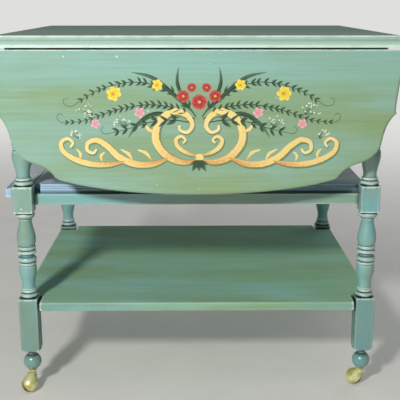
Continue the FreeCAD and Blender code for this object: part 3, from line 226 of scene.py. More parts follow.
def crevice_shade_group():
    """Mask of the grooves and inner corners, for the painted shade there, where dirt and old glaze stay
    too.
    """
    shader, given, put = new_group(
        "Crevice Dirt", {"Amount": "float", "Reach": "float"}, {"Mask": "float"})
    occlusion = shader.add("AmbientOcclusion", {"samples": 6}, Distance=given["Reach"])
    deep = shader.remap(occlusion.outputs["AO"], 0.9, 0.58)
    shader.feed(put["Mask"], shader.math("MULTIPLY", deep, given["Amount"]))
    return shader.tree


def tarnish_group():
    """Handled metal: bright where it is rubbed, duller and darker in patches."""
    shader, given, put = new_group(
        "Tarnished Metal",
        {"Vector": "vector", "Bright": "color", "Dull": "color", "Scale": "float", "Dirt": "float"},
        {"Color": "color", "Roughness": "float", "Height": "float"})
    patch = shader.noise(given["Vector"], given["Scale"], 4.0, 0.6)
    dull = shader.remap(patch, 0.4, 0.68)
    # The metal turns dull in its hollows: tarnish, on the mask that also paints shade.
    dull = shader.math("MAXIMUM", dull, given["Dirt"])
    fine = shader.noise(given["Vector"], 900.0, 2.0)
    shader.feed(put["Color"], shader.mix(dull, given["Bright"], given["Dull"]))
    shader.feed(put["Roughness"], shader.math("ADD", shader.remap(dull, 0.0, 1.0, 0.24, 0.42),
                                              shader.remap(fine, 0.3, 0.7, 0.0, 0.05)))
    shader.feed(put["Height"], shader.math("ADD", shader.math("MULTIPLY", patch, 0.6), fine))
    return shader.tree


def wood_group():
    """Plain sawn wood: long grain lines, wandering, with fine pores."""
    shader, given, put = new_group(
        "Wood Grain",
        {"Vector": "vector", "Stretch": "vector", "Light": "color", "Dark": "color"},
        {"Color": "color", "Roughness": "float", "Height": "float"})
    long_way = shader.vector_math("MULTIPLY", given["Vector"], given["Stretch"])
    wander = shader.noise(long_way, 1.0, 3.0)
    rings = shader.math("SINE", shader.math("MULTIPLY", wander, 46.0))
    pores = shader.noise(shader.vector_math("MULTIPLY", long_way, (3.0, 9.0, 9.0)), 1.0, 2.0)
    open_pores = shader.remap(pores, 0.35, 0.6, 0.6, 1.0)
    grain = shader.math("MULTIPLY", shader.remap(rings, -1.0, 1.0), open_pores)
    shader.feed(put["Color"], shader.mix(grain, given["Light"], given["Dark"]))
    shader.feed(put["Roughness"], shader.remap(pores, 0.3, 0.7, 0.6, 0.8))
    shader.feed(put["Height"], pores)
    return shader.tree


def brush_stroke_group():
    """One loaded brush stroke, read along and across its own mesh: root, middle, tip and rim."""
    shader, given, put = new_group(
        "Brush Stroke",
        {"Root": "color", "Middle": "color", "Tip": "color", "Rim": "color", "Rim Width": "float",
         "Vein": "float"},
        {"Color": "color", "Height": "float"})
    place = shader.add("UVMap", {"uv_map": "stroke"}).outputs["UV"]
    parts = shader.add("SeparateXYZ", Vector=place).outputs
    where = shader.add("TexCoord").outputs["Object"]
    mottle = shader.noise(where, 260.0, 3.0, 0.6)
    along = shader.math("ADD", parts["X"], shader.remap(mottle, 0.3, 0.7, -0.05, 0.05))
    colour = shader.mix(shader.remap(along, 0.0, 0.3), given["Root"], given["Middle"])
    colour = shader.mix(shader.remap(along, 0.5, 1.0), colour, given["Tip"])
    from_middle = shader.math("ABSOLUTE", shader.math("SUBTRACT", parts["Y"], 0.5))
    off_centre = shader.math("MULTIPLY", from_middle, 2.0)
    inner = shader.math("SUBTRACT", 1.0, given["Rim Width"])
    uneven = shader.math("ADD", off_centre, shader.remap(mottle, 0.3, 0.7, -0.08, 0.08))
    rim = shader.math("GREATER_THAN", uneven, inner)
    colour = shader.mix(rim, colour, given["Rim"])
    vein = shader.math("MULTIPLY", shader.math("LESS_THAN", off_centre, 0.12), given["Vein"])
    colour = shader.mix(vein, colour, given["Tip"])
    one_side = shader.math("MULTIPLY", shader.remap(parts["Y"], 0.5, 0.9), 0.35)
    colour = shader.mix(one_side, colour, given["Tip"])
    shader.feed(put["Color"], colour)
    shader.feed(put["Height"], mottle)
    return shader.tree


GROUP_MAKERS = {
    "Brushed Paint": brushed_paint_group,
    "Edge Wear": edge_wear_and_highlight_group,
    "Crevice Dirt": crevice_shade_group,
    "Tarnished Metal": tarnish_group,
    "Wood Grain": wood_group,
    "Brush Stroke": brush_stroke_group,
}


def place_group(shader, name, **sockets):
    """Puts a shared group in a material; it is built the first time it is asked for."""
    tree = bpy.data.node_groups.get(name) or GROUP_MAKERS[name]()
    node = shader.add("Group", {"node_tree": tree})
    for socket, value in sockets.items():
        shader.feed(node.inputs[socket.replace("_", " ")], value)
    return node.outputs


def new_material(name):
    """A material with a Principled shader; returns it with its shader builder and that node."""
    material = bpy.data.materials.new(name)
    material.use_nodes = True
    shader = Shader(material.node_tree)
    return material, shader, material.node_tree.nodes["Principled BSDF"]


def add_bump(shader, surface, height, strength, distance):
    bump = shader.add("Bump", Height=height)
    bump.inputs["Strength"].default_value = strength
    bump.inputs["Distance"].default_value = distance
    shader.feed(surface.inputs["Normal"], bump.outputs["Normal"])


def off_axes(shader, place, axis):
    """Distance from the nearest of the four upright axes at plus and minus axis."""
    folded = shader.vector_math("SUBTRACT", shader.vector_math("ABSOLUTE", place), (*axis, 0.0))
    level = shader.vector_math("MULTIPLY", folded, (1.0, 1.0, 0.0))
    return shader.add("VectorMath", {"operation": "LENGTH"}, Vector=level).outputs["Value"]


def height_tints(shader, rise, main, cool, warm, low_main, low_patches):
    """The three tints of a paint, mixed from their low ones as the rise goes from 0 to 1."""
    if low_main:
        main = shader.mix(rise, list(low_main), list(main))
    if low_patches:
        cool, warm = (shader.mix(rise, list(low), list(high))
                      for low, high in zip(low_patches, (cool, warm)))
    return main, cool, warm


def spare_turnings(shader, place, height, turned, crests, wear_and_highlight):
    """Shares of crests (rubbed paint and painted highlight) and rubbed arrises on turned legs, out of what
    turned gives.
    """
    axis, radius, neck, level = turned
    distance = off_axes(shader, place, axis)
    above = shader.math("GREATER_THAN", height, level)
    near = shader.math("LESS_THAN", distance, radius)
    thick = shader.math("MAXIMUM", above, shader.math("GREATER_THAN", distance, neck))
    crests = shader.math("MULTIPLY", shader.math("MULTIPLY", near, above), crests)
    return crests, shader.math("MULTIPLY", thick, wear_and_highlight)


def rubbed_paint_and_highlight(shader, where, height, grooves, wear_and_highlight, crests, rim):
    """Mask of the pale tint: arrises and crests that are rubbed clean, with a painted highlight on the
    crests, and a painted highlight strip at the rim.
    """
    rubbed_and_highlight = place_group(shader, "Edge Wear", Vector=where, Amount=wear_and_highlight, Crests=crests)["Mask"]
    rubbed_and_highlight = shader.math("MULTIPLY", rubbed_and_highlight, shader.remap(grooves, 0.75, 0.35))
    # The rim strip along the leaf's upper arris is a painted highlight, broken up along its length.
    if rim:
        broken = shader.remap(shader.noise(where, 45.0, 4.0, 0.7), 0.35, 0.6, 0.35, 0.95)
        strip = shader.math("MULTIPLY", shader.remap(height, *rim), broken)
        rubbed_and_highlight = shader.math("MAXIMUM", rubbed_and_highlight, strip)
    return rubbed_and_highlight


def paint_material(name, main, cool, warm, patches, streaks, brushing=0.3, wear_and_highlight=0.9, dirt_and_shade=0.8,
                   chips=0.05, offset=(0.0, 0.0, 0.0), low_main=None, low_patches=None,
                   change=(0.0, 1.0), low_share=1.0, chip_rise=None, crests=0.0, turned=None,
                   rim=None, coat=0.25, specular=0.5, matt=0.0, reach=10.0 * MM):
    """Satin brushed paint with rubbed edges, painted highlights on crests and the rim, painted shade and
    dirt in the grooves, and small chips.

    Between the two heights in change the main tint goes from low_main to main, the patches from the
    two tints in low_patches to cool and warm, and the paint from low_share of its brightness to the
    whole. chip_rise is two heights and the share of chips above them. turned is an axis, two radii
    and a height: above it only what lies within the first radius of the legs' axes has rubbed crests
    with a painted highlight, and below it the foot's thin neck, within the second, isn't rubbed.
    Between the two heights in rim a painted highlight strip along the upper arris begins. matt is
    added to the roughness.
    """
    material, shader, surface = new_material(name)
    place = shader.add("TexCoord").outputs["Object"]
    where = shader.shifted(place, offset)
    height = shader.add("SeparateXYZ", Vector=place).outputs["Z"]
    main, cool, warm = height_tints(shader, shader.remap(height, *change), main, cool, warm,
                                    low_main, low_patches)
    if chip_rise:
        low, high, most = chip_rise
        chips = shader.remap(height, low, high, chips, most)
    if turned:
        crests, wear_and_highlight = spare_turnings(shader, place, height, turned, crests, wear_and_highlight)
    # Painted shade, with dirt, in the grooves and inner corners.
    grooves = place_group(shader, "Crevice Dirt", Amount=dirt_and_shade, Reach=reach)["Mask"]
    rubbed_and_highlight = rubbed_paint_and_highlight(shader, where, height, grooves, wear_and_highlight, crests, rim)
    worn_and_highlight = bpy.context.scene.tea_cart_paint.worn_and_highlight
    paint = place_group(shader, "Brushed Paint", Vector=where, Main=main, Cool=cool, Warm=warm,
                        Worn=worn_and_highlight, Patches=patches, Streaks=streaks, Brushing=brushing,
                        Wear=rubbed_and_highlight, Dirt=grooves, Chips=chips)
    shade = shader.remap(height, *change, low_share, 1.0)
    shader.feed(surface.inputs["Base Color"], shader.mix(1.0, paint["Color"], shade, "MULTIPLY"))
    shader.feed(surface.inputs["Roughness"], shader.math("ADD", paint["Roughness"], matt))
    surface.inputs["Specular IOR Level"].default_value = specular
    surface.inputs["Coat Weight"].default_value = coat
    surface.inputs["Coat Roughness"].default_value = 0.14
    add_bump(shader, surface, paint["Height"], 0.3, 0.3 * MM)
    return material


def metal_material(name, bright, dull, scale, dirt_and_shade=0.8, matt=0.0, metallic=0.85):
    material, shader, surface = new_material(name)
    where = shader.add("TexCoord").outputs["Object"]
    # Dull tint in the grooves: tarnish, on the mask that also paints shade.
    grooves = place_group(shader, "Crevice Dirt", Amount=dirt_and_shade, Reach=10.0 * MM)["Mask"]
    metal = place_group(shader, "Tarnished Metal", Vector=where, Bright=bright, Dull=dull,
                        Scale=scale, Dirt=grooves)
    shader.feed(surface.inputs["Base Color"], metal["Color"])
    shader.feed(surface.inputs["Roughness"], shader.math("ADD", metal["Roughness"], matt))
    surface.inputs["Metallic"].default_value = metallic
    add_bump(shader, surface, metal["Height"], 0.2, 0.1 * MM)
    return material


def wood_material(name, stretch):
    colours = bpy.context.scene.tea_cart_paint
    material, shader, surface = new_material(name)
    where = shader.add("TexCoord").outputs["Object"]
    wood = place_group(shader, "Wood Grain", Vector=where, Stretch=stretch,
                       Light=colours.wood_light, Dark=colours.wood_dark)
    shader.feed(surface.inputs["Base Color"], wood["Color"])
    shader.feed(surface.inputs["Roughness"], wood["Roughness"])
    add_bump(shader, surface, wood["Height"], 0.4, 0.3 * MM)
    return material


def stroke_material(name, root, middle, tip, rim, rim_width=0.0, vein=0.0):
    material, shader, surface = new_material(name)
    stroke = place_group(shader, "Brush Stroke", Root=root, Middle=middle, Tip=tip, Rim=rim,
                         Rim_Width=rim_width, Vein=vein)
    shader.feed(surface.inputs["Base Color"], stroke["Color"])
    surface.inputs["Roughness"].default_value = 0.45
    add_bump(shader, surface, stroke["Height"], 0.3, 0.15 * MM)
    return material


def finish_nodes(names, material):
    """Gives CAD nodes one material."""
    for name in names:
        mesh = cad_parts[name].data
        mesh.materials.clear()
        mesh.materials.append(material)


# Hand-painted decoration of the front leaf.
def smooth_path(points, steps):
    """Points of a smooth curve through the given ones."""
    ends = [points[0]] + list(points) + [points[-1]]
    path = []
    for i in range(1, len(ends) - 2):
        a, b, c, d = (Vector(p) for p in ends[i - 1:i + 3])
        for step in range(steps):
            t = step / steps
            path.append((b * 2 + (c - a) * t + (a * 2 - b * 5 + c * 4 - d) * t ** 2
                         + (b * 3 - a - c * 3 + d) * t ** 3) / 2)
    path.append(Vector(points[-1]))
    return path


def along_profile(profile, t):
    """Value of an evenly spaced list of widths at t from 0 to 1."""
    place = min(max(t, 0.0), 1.0) * (len(profile) - 1)
    i = min(int(place), len(profile) - 2)
    return profile[i] + (profile[i + 1] - profile[i]) * (place - i)


class PaintCoat:
    """Collects brush strokes as thin raised slabs on the face of the front leaf, in millimetres.

    A slab's section has points at the shares of its half width in ACROSS, is lower at its sides by
    the share CROWN, and starts SINK under the face. Each stroke lies STEP above the one before.
    """

    ACROSS = (-1.0, -0.6, 0.0, 0.6, 1.0)
    CROWN = 0.45
    SINK = 0.05
    STEP = 0.0005
    THINNEST_HALF = 0.12

    def __init__(self, face_y, centre_x):
        self.face_y = face_y
        self.centre_x = centre_x
        self.vertices = []
        self.faces = []
        self.places = []
        self.count = 0

    def put(self, x, z, lift, along, across):
        self.vertices.append(((self.centre_x + x) * MM, (self.face_y - lift) * MM, z * MM))
        self.places.append((along, across))

    def stroke(self, points, profile, lift, steps=6):
        """A stroke along a path; profile gives its full widths from its start to its end."""
        path = smooth_path(points, steps)
        lift += self.count * self.STEP
        self.count += 1
        first = len(self.vertices)
        last = len(path) - 1
        ring = len(self.ACROSS) + 2
        for i, point in enumerate(path):
            ahead = path[min(i + 1, last)] - path[max(i - 1, 0)]
            side = Vector((-ahead.y, ahead.x)).normalized()
            t = i / last
            half = max(along_profile(profile, t) / 2, self.THINNEST_HALF)
            for s in self.ACROSS:
                where = point + side * half * s
                self.put(where.x, where.y, lift * (1 - self.CROWN * s * s), t, (s + 1) / 2)
            for s in (1.0, -1.0):
                where = point + side * half * s
                self.put(where.x, where.y, -self.SINK, t, (s + 1) / 2)
        for i in range(last):
            a = first + i * ring
            for j in range(ring):
                k = (j + 1) % ring
                self.faces.append((a + j, a + k, a + ring + k, a + ring + j))
        self.faces.append(tuple(first + j for j in reversed(range(ring))))
        end = first + last * ring
        self.faces.append(tuple(end + j for j in range(ring)))

    def both_sides(self, points, profile, lift, steps=6):
        self.stroke(points, profile, lift, steps)
        self.stroke([(-x, z) for x, z in points], profile, lift, steps)

    def petal(self, x, z, angle, length, width, profile, lift):
        """A short straight stroke that leaves x, z at an angle in degrees."""
        a = math.radians(angle)
        ends = [(x + math.cos(a) * length * s, z + math.sin(a) * length * s) for s in (0.0, 0.5, 1.0)]
        self.stroke(ends, [width * p for p in profile], lift, 5)

    def piece(self, name, material, slot):
        mesh = bpy.data.meshes.new(name)
        mesh.from_pydata(self.vertices, [], self.faces)
        layer = mesh.uv_layers.new(name="stroke")
        for loop in mesh.loops:
            layer.data[loop.index].uv = self.places[loop.vertex_index]
        mesh.materials.append(material)
        mesh.validate()
        piece = bpy.data.objects.new(name, mesh)
        bpy.context.scene.collection.objects.link(piece)
        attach(piece, "leaf_front")
        return piece


# Widths along a stroke, as shares of its widest place.
LEAFLET = (0.0, 0.62, 0.95, 1.0, 0.82, 0.45, 0.0)
ROUND_PETAL = (0.3, 0.62, 0.86, 1.0, 1.0, 0.82, 0.35)
DOT = (0.3, 0.9, 1.0, 0.9, 0.3)

# Right half of the decoration, in millimetres from its middle line and from the floor.
SCROLLS = (
    (((2, 508), (30, 503), (62, 516), (82, 545), (76, 580), (50, 600), (24, 594), (13, 575), (22, 561),
      (36, 565), (37, 574)), (3, 11, 15, 16, 15, 14, 12, 9, 7, 6, 5)),
    (((3, 516), (20, 520), (38, 531), (44, 546), (34, 553), (26, 546), (31, 540)), (2, 7, 9, 8, 6, 5, 4)),
    (((58, 512), (88, 500), (122, 500), (152, 513), (174, 534), (194, 546), (211, 541), (213, 527),
      (202, 521), (195, 529)), (4, 12, 14, 14, 13, 11, 9, 7, 6, 5)),
    (((140, 506), (172, 499), (206, 500), (236, 509), (258, 524), (262, 541), (250, 549), (240, 541),
      (245, 532)), (3, 10, 12, 12, 10, 8, 7, 6, 4)),
)
COMMAS = (
    (((90, 506), (101, 521), (117, 527)), (1, 8, 2)),
    (((126, 504), (134, 519), (149, 528)), (1, 8, 2)),
    (((184, 503), (187, 515), (180, 523)), (1, 7, 2)),
    (((228, 506), (226, 519), (233, 529)), (1, 7, 2)),
    (((80, 560), (95, 566), (103, 578)), (1, 8, 2)),
)
STEMS = (
    ((6, 590), (30, 622), (66, 643), (108, 655), (150, 652), (190, 640), (222, 622)),
    ((8, 586), (44, 606), (90, 613), (136, 608), (178, 596), (216, 583), (250, 580)),
    ((10, 578), (50, 584), (92, 580), (132, 568), (166, 560)),
)
CURLS = (
    ((222, 622), (238, 611), (252, 613), (254, 623), (246, 625)),
    ((250, 580), (262, 581), (268, 590), (262, 597), (256, 592)),
    ((166, 560), (180, 558), (186, 566), (180, 572)),
)
BLADES = (
    (((14, 600), (50, 634), (88, 664), (128, 674)), (0, 7, 9, 6, 0)),
    (((36, 588), (80, 596), (114, 578), (136, 548)), (0, 8, 9, 6, 0)),
    (((20, 606), (40, 650), (38, 684)), (0, 6, 7, 4, 0)),
)
TASSEL = ((-90, 22), (-58, 26), (-122, 26), (-28, 20), (-152, 20))

# Length, width and spacing of the leaflets on each of the stems.
LEAFLETS = ((17.0, 5.4, 13.0), (15.0, 4.8, 12.0), (22.0, 8.0, 19.0))

# Petals, their width's share, the heart's share, the sides they stand on, and place and radius of each.
BLOSSOMS = {
    "red_blossoms": (5, 1.0, 0.22, (1,), ((0, 618, 15.0), (30, 629, 12.0), (-30, 629, 12.0),
                                          (14, 645, 9.0), (-14, 645, 9.0))),
    "yellow_blossoms": (6, 1.0, 0.3, (-1, 1), ((160, 634, 14.0), (78, 650, 10.5))),
    "pink_blossoms": (5, 0.9, 0.24, (-1, 1), ((112, 598, 10.0), (196, 577, 9.0))),
}
WHITE_SPRAYS = ((212, 604, 20.0), (146, 580, 17.0), (236, 556, 13.0))
SPRAY_DROPS = 15

# How far each layer of paint stands above the face, in millimetres.
GLAZE_LIFT = 0.05
SPRAY_STEM_LIFT = 0.09
STEM_LIFT = 0.1
BLADE_LIFT = 0.12
LEAFLET_LIFT = 0.13
TASSEL_LIFT = 0.14
DROP_LIFT = 0.16
SCROLL_LIFT = 0.17
PETAL_LIFT = 0.2
CLASP_LIFT = 0.24
HEART_LIFT = 0.3

# Material of each layer, its root, middle, tip and rim colours, and the shares of rim and vein. A name
# in place of a colour stands for the one that the user sets.
STROKE_FINISHES = {
    "shadow_glaze": ("Shadow Glaze", ((112, 142, 112),) * 4, 0.0, 0.0),
    "stems": ("Stem Strokes", ("foliage", "foliage", (60, 92, 66), "foliage"), 0.0, 0.0),
    "foliage": ("Foliage Strokes", ((28, 48, 38), "foliage", (104, 138, 98), (24, 44, 34)), 0.12, 0.5),
    "scrolls": ("Scroll Strokes", ((226, 158, 84), "scroll", (254, 238, 172), (150, 118, 66)),
                0.14, 0.0),
    "red_blossoms": ("Red Strokes", ((112, 24, 34), (182, 50, 56), (222, 104, 96), (120, 30, 38)),
                     0.12, 0.0),
    "yellow_blossoms": ("Yellow Strokes", ((222, 158, 48), (248, 218, 62), (253, 240, 120),
                                           (170, 130, 50)), 0.1, 0.0),
    "pink_blossoms": ("Pink Strokes", ((206, 110, 138), (234, 158, 178), (248, 208, 214),
                                       (190, 110, 132)), 0.1, 0.0),
    "white_sprays": ("White Strokes", ((206, 218, 186), (226, 234, 208), (240, 244, 228),
                                       (190, 206, 172)), 0.0, 0.0),
    "blossom_hearts": ("Heart Strokes", ((150, 96, 30), (226, 170, 52), (250, 220, 110),
                                         (110, 70, 30)), 0.1, 0.0),
}


def leafy_stem(coat, stem, mirrored, length, width, gap, rng):
    """Pairs of leaflets along a stem, shrinking towards its tip."""
    side = -1 if mirrored else 1
    path = [Vector((side * p.x, p.y)) for p in smooth_path(stem, 12)]
    travelled = 0.0
    due = gap * 1.6
    total = sum((b - a).length for a, b in zip(path, path[1:]))
    for a, b in zip(path, path[1:]):
        travelled += (b - a).length
        if travelled < due:
            continue
        due += gap
        share = 1.0 - 0.4 * travelled / total
        heading = math.degrees(math.atan2(b.y - a.y, b.x - a.x))
        for lean in (38, -38):
            turn = heading + lean + rng.uniform(-9, 9)
            long = length * share * rng.uniform(0.85, 1.12)
            coat.petal(b.x, b.y, turn, long, width * share, LEAFLET, LEAFLET_LIFT)


def blossom(coat, x, z, radius, petals, spread, rng):
    """Round petals about x, z, a little uneven."""
    start = rng.uniform(0, 360)
    for i in range(petals):
        angle = start + i * 360 / petals + rng.uniform(-5, 5)
        length = radius * rng.uniform(0.92, 1.06)
        width = radius * spread * 5 / petals
        coat.petal(x, z, angle, length, width, ROUND_PETAL, PETAL_LIFT)


def dot(coat, x, z, radius, lift):
    """A round dab of paint."""
    coat.petal(x - radius, z, 0, radius * 2, radius * 2, DOT, lift)


# Values that a user may change.
def tint(name, description, red, green, blue):
    """A colour property, with its default in screen values from 0 to 255."""
    return FloatVectorProperty(
        name=name, description=description, subtype="COLOR", size=3, min=0, max=1,
        default=linear(red, green, blue))


class TeaCartPaintSettings(bpy.types.PropertyGroup):
    """Colours of the paint and the bare wood."""

    leaf_main: tint("Leaf", "Main tint of the leaves", 150, 196, 184)
    leaf_low: tint("Leaf, lower", "Main tint of the leaves' greener lower part", 146, 179, 141)
    leaf_cool: tint("Leaf, cool", "Bluish patches on the leaves", 150, 190, 172)
    leaf_warm: tint("Leaf, warm", "Olive patches on the leaves", 147, 174, 128)
    leg_main: tint("Legs", "Main tint of the legs", 140, 184, 178)
    leg_cool: tint("Legs, cool", "Bluish patches on the legs", 130, 188, 190)
    leg_warm: tint("Legs, warm", "Green patches on the legs", 140, 174, 156)
    rail_main: tint("Rails", "Main tint of the tray rails and aprons", 138, 184, 182)
    shelf_main: tint("Shelf", "Main tint of the lower shelf", 149, 191, 154)
    shelf_edge: tint("Shelf edge", "Main tint of the shelf's edges", 132, 174, 163)
    shelf_cool: tint("Shelf, cool", "Bluish patches on the shelf", 154, 200, 184)
    shelf_warm: tint("Shelf, warm", "Olive patches on the shelf", 147, 182, 143)
    # The top's face tints are darker than the rest of the paint: painted shade, with some dulling by use.
    # Its moulded edge tints are paler: a painted highlight.
    top_shaded_main: tint("Top", "Main tint of the top, dulled by use", 130, 151, 144)
    top_shaded_cool: tint("Top, cool", "Bluish grey patches on the top", 135, 160, 154)
    top_shaded_warm: tint("Top, warm", "Greener patches on the top", 126, 149, 134)
    top_edge_highlight: tint("Top edge", "Paler tint of the top's moulded edge", 174, 205, 188)
    top_edge_cool_highlight: tint("Top edge, cool", "Bluish patches on the top's moulded edge", 168, 198, 193)
    tray_main: tint("Tray", "Pale blue grey of the pull-out tray", 172, 206, 238)
    tray_top: tint("Tray top", "Whitish tint of the tray's upper face", 236, 243, 243)
    tray_cool: tint("Tray, cool", "Bluish patches on the tray", 214, 230, 240)
    # This pale tint also paints the highlights on crests and along the leaves' upper rim.
    worn_and_highlight: tint("Worn edges", "Undercoat that shows where the paint is rubbed", 222, 242, 232)
    wood_light: tint("Wood, light", "Pale grain of the bare wood", 172, 146, 108)
    wood_dark: tint("Wood, dark", "Dark grain of the bare wood", 124, 97, 66)


class TeaCartDecorSettings(bpy.types.PropertyGroup):
    """Colours and place of the painted decoration."""

    middle_x: FloatProperty(
        name="Middle", description="Where the decoration's middle line is, along the table",
        subtype="DISTANCE", unit="LENGTH", default=0.004)
    scroll: tint("Scrolls", "Body colour of the scrolls", 251, 224, 142)
    foliage: tint("Foliage", "Dark green of the leaves and stems", 38, 66, 50)
    seed: IntProperty(
        name="Hand", description="Changes the small irregularities of the brush work", min=0, default=7)


class TeaCartStageSettings(bpy.types.PropertyGroup):
    """Floor and light."""

    floor_radius: FloatProperty(
        name="Floor radius", description="How far the pale floor reaches", subtype="DISTANCE",
        unit="LENGTH", min=1.0, default=30.0)
    key_power: FloatProperty(
        name="Key light", description="Power of the soft lamp at the front left", min=0.0,
        subtype="POWER", unit="POWER", default=62.0)
    ceiling_power: FloatProperty(
        name="Ceiling light", description="Power of the wide lamp overhead", min=0.0,
        subtype="POWER", unit="POWER", default=15.0)
    rear_power: FloatProperty(
        name="Rear light", description="Power of the wide lamp behind the table", min=0.0,
        subtype="POWER", unit="POWER", default=28.0)
    key_size: FloatProperty(
        name="Key size", description="Side of the soft lamp", subtype="DISTANCE", unit="LENGTH",
        min=0.05, default=0.28)
    fill: FloatProperty(
        name="Fill", description="Strength of the even light from all round", min=0.0, default=0.07)
    floor_colour: tint("Floor", "Pale floor", 236, 234, 228)


class TEACART_OT_paint_leaves(bpy.types.Operator):
    """Paints both drop leaves"""

    bl_idname = "tea_cart.paint_leaves"
    bl_label = "Paint Leaves"

    def execute(self, context):
        tints = context.scene.tea_cart_paint
        # The strip along the upper rim is a painted highlight.
        material = paint_material("Leaf Paint", tints.leaf_main, tints.leaf_cool, tints.leaf_warm,
                                  (2.6, 9.0, 9.5), (5.0, 120.0, 150.0), brushing=0.34, wear_and_highlight=1.5,
                                  dirt_and_shade=0.3, chips=0.035, offset=(14.4, 0.0, 3.0), low_main=tints.leaf_low,
                                  change=LEAF_CHANGE, chip_rise=LEAF_CHIP_RISE, rim=LEAF_RIM_HIGHLIGHT)
        finish_nodes(("leaf_front", "leaf_rear"), material)
        return {"FINISHED"}


class TEACART_OT_paint_top(bpy.types.Operator):
    """Paints the top panel"""

    bl_idname = "tea_cart.paint_top"
    bl_label = "Paint Top"

    def execute(self, context):
        tints = context.scene.tea_cart_paint
        # Darker tints on the face are painted shade; the paler tint on the moulded edge and on its crests
        # is a painted highlight.
        material = paint_material("Top Paint", tints.top_shaded_main, tints.top_shaded_cool, tints.top_shaded_warm,
                                  (1.1, 20.0, 20.0), (3.0, 200.0, 200.0), brushing=0.55, wear_and_highlight=1.0,
                                  low_main=tints.top_edge_highlight, change=TOP_CHANGE,
                                  low_patches=(tints.top_edge_cool_highlight, tints.top_edge_highlight), crests=0.9,
                                  dirt_and_shade=0.35, chips=0.12, coat=0.0, specular=0.25, matt=0.2)
        finish_nodes(("top_panel",), material)
        return {"FINISHED"}


class TEACART_OT_paint_legs(bpy.types.Operator):
    """Paints the four turned legs"""

    bl_idname = "tea_cart.paint_legs"
    bl_label = "Paint Legs"

    def execute(self, context):
        tints = context.scene.tea_cart_paint
        low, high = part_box("leg_fr")
        axis = ((low.x + high.x) / 2, -(low.y + high.y) / 2)
        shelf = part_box("lower_shelf")[1].z
        # The crests of the turnings get the pale tint: a painted highlight, with rubbed paint.
        material = paint_material("Leg Paint", tints.leg_main, tints.leg_cool, tints.leg_warm,
                                  (11.0, 11.0, 6.0), (160.0, 160.0, 12.0), brushing=0.22, wear_and_highlight=1.2,
                                  dirt_and_shade=1.0, offset=(7.4, 4.1, 3.8), low_share=0.8,
                                  change=(shelf - 4 * MM, shelf + 30 * MM), crests=0.9, coat=0.6,
                                  turned=(axis, TURNING_RADIUS, NECK_RADIUS, shelf),
                                  reach=16.0 * MM)
        finish_nodes(["leg_" + corner for corner in CORNERS], material)
        return {"FINISHED"}


class TEACART_OT_paint_rails(bpy.types.Operator):
    """Paints the aprons and the rails of the middle tier"""

    bl_idname = "tea_cart.paint_rails"
    bl_label = "Paint Aprons and Rails"

    def execute(self, context):
        tints = context.scene.tea_cart_paint
        for name, patches, streaks, sides in (
                ("Long Rail Paint", (5.0, 9.0, 12.0), (8.0, 170.0, 170.0), ("front", "rear")),
                ("End Rail Paint", (9.0, 5.0, 12.0), (170.0, 8.0, 170.0), ("left", "right"))):
            material = paint_material(name, tints.rail_main, tints.leg_cool, tints.leg_warm,
                                      patches, streaks)
            finish_nodes([part + side for part in ("apron_", "tray_rail_") for side in sides], material)
        return {"FINISHED"}


class TEACART_OT_paint_shelf(bpy.types.Operator):
    """Paints the lower shelf"""

    bl_idname = "tea_cart.paint_shelf"
    bl_label = "Paint Shelf"

    def execute(self, context):
        tints = context.scene.tea_cart_paint
        material = paint_material("Shelf Paint", tints.shelf_main, tints.shelf_cool, tints.shelf_warm,
                                  (2.2, 7.0, 9.0), (3.5, 90.0, 160.0), brushing=0.45, wear_and_highlight=1.7,
                                  chips=0.04, low_main=tints.shelf_edge, change=SHELF_CHANGE,
                                  coat=0.0, specular=0.3, matt=0.12)
        finish_nodes(("lower_shelf",), material)
        return {"FINISHED"}


class TEACART_OT_paint_tray(bpy.types.Operator):
    """Paints the pull-out tray"""

    bl_idname = "tea_cart.paint_tray"
    bl_label = "Paint Tray"

    def execute(self, context):
        tints = context.scene.tea_cart_paint
        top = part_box("tray_board")[1].z
        material = paint_material("Tray Paint", tints.tray_top, tints.tray_cool, tints.tray_main,
                                  (2.4, 9.0, 9.0), (4.0, 120.0, 150.0), brushing=0.45, chips=0.06,
                                  low_main=tints.tray_main, change=(top - 1.5 * MM, top - 0.4 * MM))
        finish_nodes(("tray_board", "tray_cleat"), material)
        return {"FINISHED"}


class TEACART_OT_finish_wood(bpy.types.Operator):
    """Leaves the hidden blocks, runners, bearers and stop as bare wood"""

    bl_idname = "tea_cart.finish_wood"
    bl_label = "Finish Bare Wood"

    def execute(self, context):
        finish_nodes(("corner_blocks", "tray_runners"), wood_material("Wood Along", (3.0, 40.0, 40.0)))
        finish_nodes(("shelf_bearers", "tray_stop"), wood_material("Wood Across", (40.0, 3.0, 40.0)))
        return {"FINISHED"}


class TEACART_OT_finish_metal(bpy.types.Operator):
    """Finishes the casters in brass, the hinges in dull brass, and the stays and screws in steel"""

    bl_idname = "tea_cart.finish_metal"
    bl_label = "Finish Metal"

    def execute(self, context):
        brass = metal_material("Brass", linear(252, 248, 190), linear(204, 198, 118), 75.0,
                               matt=0.08, metallic=0.5)
        finish_nodes(["caster_%s_swivel" % c for c in CORNERS], brass)
        wheel = metal_material("Wheel Brass", linear(205, 188, 112), linear(104, 86, 44), 60.0)
        finish_nodes(["caster_%s_wheel" % c for c in CORNERS], wheel)
        dull = metal_material("Dull Brass", linear(178, 150, 92), linear(110, 88, 52), 50.0)
        hinges = [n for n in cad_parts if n.startswith("hinge_")]
        finish_nodes(hinges, dull)
        steel = metal_material("Steel", linear(176, 178, 180), linear(116, 112, 104), 55.0)
        rest = [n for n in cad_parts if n.startswith("stay_") or n.endswith(("_axle", "sockets"))]
        finish_nodes(rest + ["corner_block_screws", "shelf_screws"], steel)
        return {"FINISHED"}


